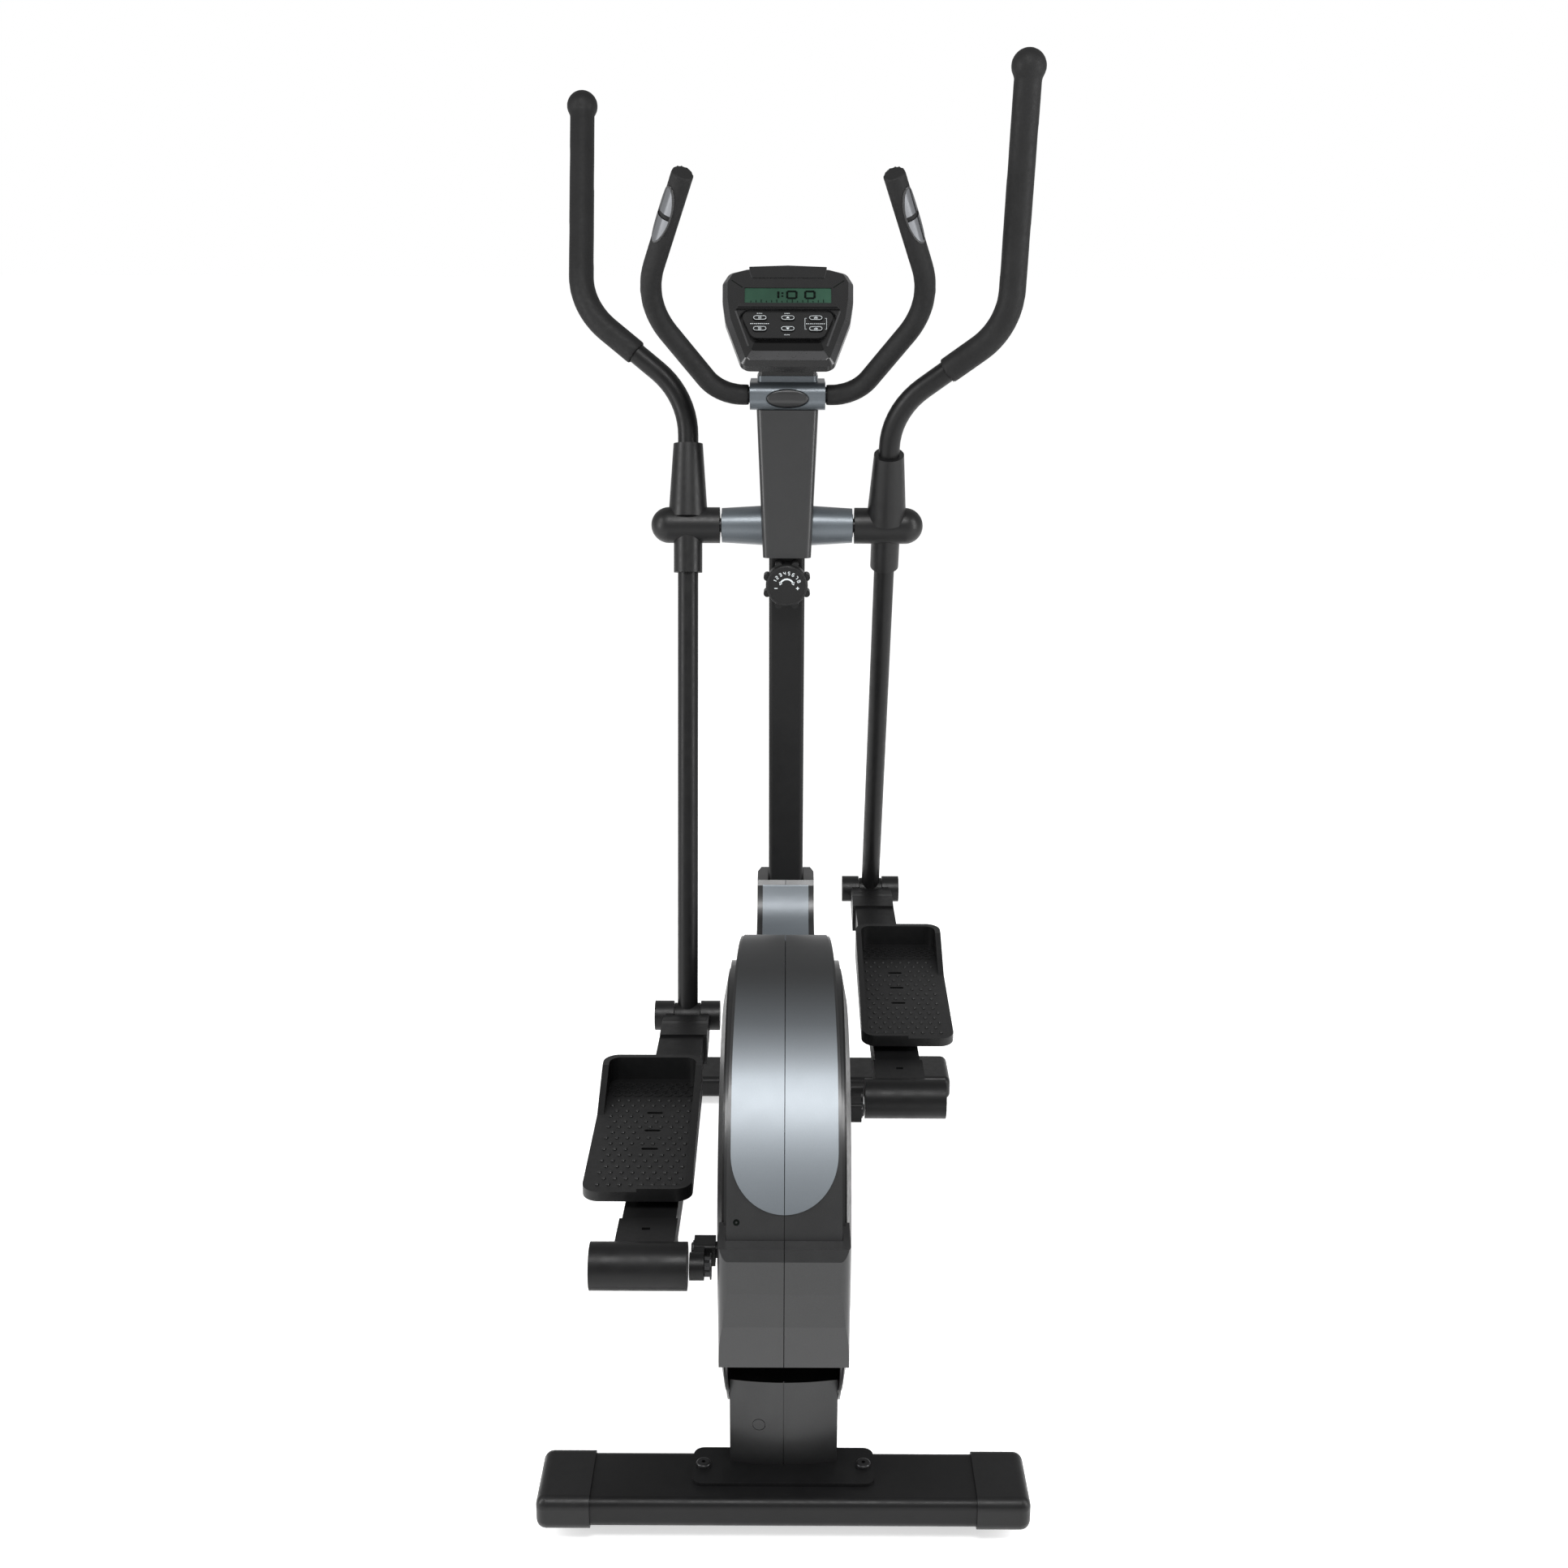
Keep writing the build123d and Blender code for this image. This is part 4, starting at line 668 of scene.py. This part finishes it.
def display(bm):
    """Digits and scale marks of the display, just above the glass."""
    low, top = -0.0005, 0.0000
    y, tall, stroke = -0.0044, 0.0122, 0.0029
    digit(bm, FACE, "1", -0.0215, y, 0.0085, tall, stroke, low, top)
    for dot in (-0.0007, 0.0048):
        prism(bm, FACE, [(px - 0.0075, py + dot) for px, py in arc_points(0.0015, 0, 315, 7)], low, top)
    for x in (-0.0010, 0.0235):
        digit(bm, FACE, "0", x, y, 0.0125, tall, stroke, low, top)
    for step in range(15):
        x = -0.050 + step * 0.007
        ribbon(bm, FACE, [(x, -0.0118), (x, -0.0092 + 0.0012 * (step % 3))], 0.0005, low, top)


new_mesh("display_digits", display, "root", DIGITS_AND_SHADE, False)


def console_trim(bm):
    """Raised bar under the display, the raised middle of the brow and the frame round the glass."""
    v = 0.0105 - LENS_V
    for grow, low, high in ((0.0, -0.0005, 0.0022), (-0.0022, 0.0020, 0.0034)):
        half, under, over = 0.0700 + grow, v - grow, v + 0.0095 + grow
        bar = [(-half, under), (half, under), (half - 0.004, over), (0.004 - half, over)]
        prism(bm, FACE, bar, low, high, 0.0012)
    brow = [
        (-0.0495, 0.0668), (0.0495, 0.0668), (0.0522, 0.0760), (0.0530, 0.0868), (0.0, 0.0900),
        (-0.0530, 0.0868), (-0.0522, 0.0760),
    ]
    prism(bm, FACE, [(x, y - LENS_V) for x, y in brow], -0.0008, 0.0010, 0.0008)
    wide, tall = 0.0592, 0.0142
    glass_frame = [(-wide, -tall), (wide, -tall), (wide, tall), (-wide, tall)]
    ribbon(bm, FACE, glass_frame, 0.0008, -0.0005, 0.0007, closed=True)


new_mesh("console_trim", console_trim, "root", GLOSSY, False)


def console_lip_highlight(bm):
    """Sloping lip under the keypad and the facets at the pocket's sides, coloured lighter than the face: a
    painted highlight.
    """
    lip = [
        (-0.0490, -0.0622), (0.0490, -0.0622), (0.0545, -0.0735), (0.0505, -0.0772), (-0.0505, -0.0772),
        (-0.0545, -0.0735),
    ]
    prism(bm, FACE, [(x, y - LENS_V) for x, y in lip], -0.0008, 0.0007, 0.0006)
    for side in (-1, 1):
        path = [(side * 0.0703, 0.0080 - LENS_V), (side * 0.0525, -0.0535 - LENS_V)]
        ribbon(bm, FACE, path, 0.0012, -0.0020, 0.0002)


new_mesh("console_lip_highlight", console_lip_highlight, "root", LIP_HIGHLIGHT, False)


def pad_step(bm):
    """Near-black glossy sheet on the pocket's floor below the keypad block: painted shade in the recess."""
    floor_edge = [
        (-0.0440, -0.0388), (0.0440, -0.0388), (0.0480, -0.0520), (0.0385, -0.0610), (-0.0385, -0.0610),
        (-0.0480, -0.0520),
    ]
    prism(bm, FACE, [(x, y - LENS_V) for x, y in floor_edge], -0.0074, -0.0064)


new_mesh("console_step_shade", pad_step, "root", STEP_SHADE, False)


def panel_lines(bm):
    """Thin shadow gaps at the console's upper corners."""
    for side in (-1, 1):
        path = [(side * 0.0765, 0.0630 - LENS_V), (side * 0.0615, 0.0500 - LENS_V)]
        ribbon(bm, FACE, path, 0.0005, -0.0004, 0.0002)


new_mesh("console_panel_lines", panel_lines, "root", DIGITS_AND_SHADE, False)


def pad_marks(bm):
    """Plain dashes beside the keys, and the bracket round the right-hand pair."""
    depth = -0.0015
    low, high = depth - 0.0003, depth + 0.0002
    for u, v, half in (
        (-0.0375, -0.0130, 0.0130), (0.0375, -0.0130, 0.0130), (0.0, 0.0050, 0.0045), (0.0, -0.0325, 0.0045),
        (-0.0375, 0.0050, 0.0040),
    ):
        for step in range(int(half / 0.0013)):
            x = u - half + step * 0.0026
            ribbon(bm, FACE, [(x, v - LENS_V), (x + 0.0018, v - LENS_V)], 0.0005, low, high)
    for side in (-1, 1):
        x = 0.0375 + side * 0.0145
        ribbon(bm, FACE, [(x - side * 0.0022, -0.0035 - LENS_V), (x, -0.0035 - LENS_V)], 0.00025, low, high)
        ribbon(bm, FACE, [(x, -0.0035 - LENS_V), (x, -0.0225 - LENS_V)], 0.00025, low, high)
        ribbon(bm, FACE, [(x, -0.0225 - LENS_V), (x - side * 0.0022, -0.0225 - LENS_V)], 0.00025, low, high)


new_mesh("console_pad_marks", pad_marks, "root", PRINT, False)


def key_print(column, row):
    """Outline and icon printed on a key: up and down on the middle keys, plain marks on the others."""

    def build(bm):
        button = f"button_{row * 3 + column + 1}"
        low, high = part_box(button)
        flat = FACE.inverted()
        local = flat @ ((low + high) / 2)
        matrix = FACE @ Matrix.Translation((local.x, local.y, 0.0))
        top = max((flat @ vertex.co).z for vertex in nodes[button].data.vertices)
        z0, z1 = top - 0.0003, top + 0.0003
        ring = arc_points(0.0032, 90, 270, 12, (-0.0052, 0.0)) + arc_points(0.0032, -90, 90, 12, (0.0052, 0.0))
        ribbon(bm, matrix, ring, 0.00032, z0, z1, closed=True)
        if column == 1:
            point = 0.0018 if row == 0 else -0.0018
            prism(bm, matrix, [(-0.0026, -point * 0.7), (0.0026, -point * 0.7), (0.0, point)], z0, z1)
        elif column == 0:
            box = [(-0.0018, -0.0014), (0.0018, -0.0014), (0.0018, 0.0014), (-0.0018, 0.0014)]
            ribbon(bm, matrix, box, 0.0003, z0, z1, closed=True)
            ribbon(bm, matrix, [(-0.0009, 0.0), (0.0009, 0.0)], 0.0003, z0, z1)
        else:
            for step, tall in enumerate((0.0016, 0.003, 0.0022)):
                x = (step - 1) * 0.0018
                ribbon(bm, matrix, [(x, -0.0015), (x, -0.0015 + tall)], 0.0006, z0, z1)

    return build


for row in range(2):
    for column in range(3):
        number = row * 3 + column + 1
        new_mesh(f"key_print_{number}", key_print(column, row), f"key_{number}", PRINT, False)

# ---- oval dish of the clamp cover ---------------------------------------------------------------
clamp_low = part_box("clamp_cover")[0]
CLAMP_DEEP, CLAMP_ROUND = 0.037, 0.015          # the rounded bar's height and its edge radius
DISH_WIDE, DISH_TALL, DISH_DEEP, DISH_Z = 0.030, 0.013, 0.0015, 0.016


def oval_dish(bm):
    """Darker skin on the floor of the oval dish, which follows the cover's rounded back; its darker tone is
    painted shade in the dish.
    """
    middle = clamp_low.z + CLAMP_DEEP / 2
    bend = CLAMP_ROUND - DISH_DEEP
    flat = CLAMP_DEEP / 2 - CLAMP_ROUND
    reaches = [0.02] + [step / 6 * 0.96 for step in range(1, 7)]
    outer, inner = -0.0002, 0.0005           # both faces of the skin, against the dish's floor
    rows = [(reach, outer) for reach in reaches] + [(reach, inner) for reach in reversed(reaches)]
    rings = []
    for reach, lift in rows:
        ring = []
        for x, z in arc_points(reach, 0, 352.5, 47):
            x, z = x * DISH_WIDE, clamp_low.z + DISH_Z + z * DISH_TALL
            over = max(0.0, abs(z - middle) - flat)
            y = clamp_low.y + DISH_DEEP + bend - math.sqrt(max(0.0, bend**2 - over**2))
            ring.append(bm.verts.new((x, y + lift, z)))
        rings.append(ring)
    join_rings(bm, rings)
    bm.faces.new(rings[0])
    bm.faces.new(rings[-1])


new_mesh("clamp_dish_shade", oval_dish, "root", CASING)

# ---- tension knob -------------------------------------------------------------------------------
knob_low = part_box("tension_knob")[0]
knob_pos = Vector(joints["tension_turn"]["pos_m"])
KNOB = Matrix.Translation((knob_pos.x, knob_low.y, knob_pos.z)) @ Matrix.Rotation(math.radians(90), 4, "X")


def knob_details(bm):
    """Raised ring round the knob's dial face."""
    lathe(bm, KNOB, [(0.0252, -0.0004), (0.0256, 0.0004), (0.0268, 0.0004), (0.0272, -0.0004)])


new_mesh("knob_ring", knob_details, "knob", MOULDED)


def knob_print(bm):
    """Arc with two arrow heads, the numbers 1 to 8 round it, and a minus and a plus."""
    z0, z1 = -0.0003, 0.0003
    reach = 0.0098
    ribbon(bm, KNOB, arc_points(reach, 22, 158, 24), 0.0011, z0, z1)
    for side in (-1, 1):
        tip = math.radians(90 - side * 82)
        root = math.radians(90 - side * 60)
        head = [
            (reach * math.cos(tip), reach * math.sin(tip)),
            ((reach - 0.0026) * math.cos(root), (reach - 0.0026) * math.sin(root)),
            ((reach + 0.0026) * math.cos(root), (reach + 0.0026) * math.sin(root)),
        ]
        prism(bm, KNOB, head, z0, z1)
        ribbon(bm, KNOB, [(side * 0.0150 - 0.0022, -0.0030), (side * 0.0150 + 0.0022, -0.0030)], 0.0006, z0, z1)
    ribbon(bm, KNOB, [(0.0150, -0.0052), (0.0150, -0.0008)], 0.0006, z0 - 0.0001, z1 + 0.0001)
    for number in range(1, 9):
        turn = math.radians(158 - (number - 1) * 19.4)
        spot = KNOB @ Matrix.Translation((0.0180 * math.cos(turn), 0.0180 * math.sin(turn), 0.0))
        spot = spot @ Matrix.Rotation(turn - math.pi / 2, 4, "Z")
        digit(bm, spot, str(number), -0.0012, -0.0020, 0.0024, 0.0042, 0.0009, z0, z1)


new_mesh("knob_print", knob_print, "knob", PRINT, False)

# ---- pulse plates' bezels -----------------------------------------------------------------------
bar_low, bar_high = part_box("handlebar")
BAR_Y, BAR_Z = bar_high.y - 0.011, bar_low.z + 0.011
LEAN = math.radians(35.0)
BAR_ELBOW, BAR_END = Vector((0.1875, 0.1525)), Vector((0.1285, 0.339))
SLEEVE = 0.014


def pulse_frame(side):
    """Origin on the bar's centre line, X along the bar and Z the way the plates face."""
    run = (BAR_END - BAR_ELBOW).normalized()
    spot = BAR_END - run * 0.056
    lift = Vector((0.0, -math.sin(LEAN), math.cos(LEAN)))
    along = Vector((side * run.x, 0.0, 0.0)) + lift * run.y
    outward = Vector((side * run.y, 0.0, 0.0)) - lift * run.x
    facing = (outward + Vector((0.0, -math.cos(LEAN), -math.sin(LEAN))) * 0.85).normalized()
    origin = Vector((side * spot.x, BAR_Y, BAR_Z)) + lift * spot.y
    return origin, along, facing


def bezel(side):
    origin, along, facing = pulse_frame(side)
    around = facing.cross(along)

    def build(bm):
        rails = []
        section = ((0.0, -0.0006), (0.0, 0.0013), (0.0022, 0.0009), (0.0026, -0.0006))
        for grow, rise in section:
            radius = SLEEVE + rise
            rail = []
            for step in range(48):
                turn = 2 * math.pi * step / 48
                swing = (0.0112 + grow) * math.sin(turn) / SLEEVE
                reach = (0.0392 + grow) * math.cos(turn)
                spot = origin + along * reach + (facing * math.cos(swing) + around * math.sin(swing)) * radius
                rail.append(bm.verts.new(spot))
            rails.append(rail)
        join_rings(bm, rails + rails[:1])

    return build


for side, name in SIDES:
    new_mesh(f"pulse_bezel_{name}", bezel(side), "root", GLOSSY)

# ---- crank nuts and the small screw recess ------------------------------------------------------
crank_pos = Vector(joints["crank_turn"]["pos_m"])
CRANK_REST = math.radians(-2.0)


def crank_nuts(side):
    """Blackened nuts on the clamp block and behind the pin eye, with their washers."""

    def build(bm):
        for reach, inner, outer, size in ((0.180, 0.0990, 0.1021, 0.0084), (0.216, 0.0788, 0.0866, 0.0116)):
            place = Vector((side * inner, crank_pos.y, crank_pos.z))
            place += Vector((0.0, side * math.cos(CRANK_REST), side * math.sin(CRANK_REST))) * reach
            matrix = Matrix.Translation(place) @ Matrix.Rotation(side * math.radians(90), 4, "Y")
            hexagon = arc_points(size, 0, 300, 5)
            prism(bm, matrix, hexagon, 0.0, outer - inner, 0.0008)
            bore, rim = size * 0.5, size * 1.22
            lathe(bm, matrix, [(bore, -0.0002), (rim, -0.0002), (rim, 0.0012), (bore, 0.0012)], 24)

    return build


for side, name in SIDES:
    new_mesh(f"crank_nuts_{name}", crank_nuts(side), "cranks", DARK_STEEL_AND_SHADE, False)

BAND = 0.284                   # the casing back's radius about the crank
RECESS_Z = 0.420


def screw_recess(bm):
    """Small round screw recess low on the left of the casing's back, coloured near-black: painted shade in the
    hole.
    """
    drop = RECESS_Z - crank_pos.z
    place = Vector((-0.050, crank_pos.y - math.sqrt(BAND**2 - drop**2), RECESS_Z))
    outward = Vector((0.0, place.y - crank_pos.y, drop)).normalized()
    matrix = Matrix.Translation(place) @ outward.to_track_quat("Z", "Y").to_matrix().to_4x4()
    cup = [(0.0001, -0.0006), (0.0030, -0.0006), (0.0034, 0.0003), (0.0028, 0.0003), (0.0001, -0.0002)]
    lathe(bm, matrix, cup, 20)


new_mesh("screw_recess", screw_recess, "root", DIGITS_AND_SHADE)

# ---- floor ------------------------------------------------------------------------------------
def floor_sheet(bm):
    bmesh.ops.create_grid(bm, x_segments=12, y_segments=12, size=60.0)


floor = new_mesh("studio_floor", floor_sheet, None, FLOOR)
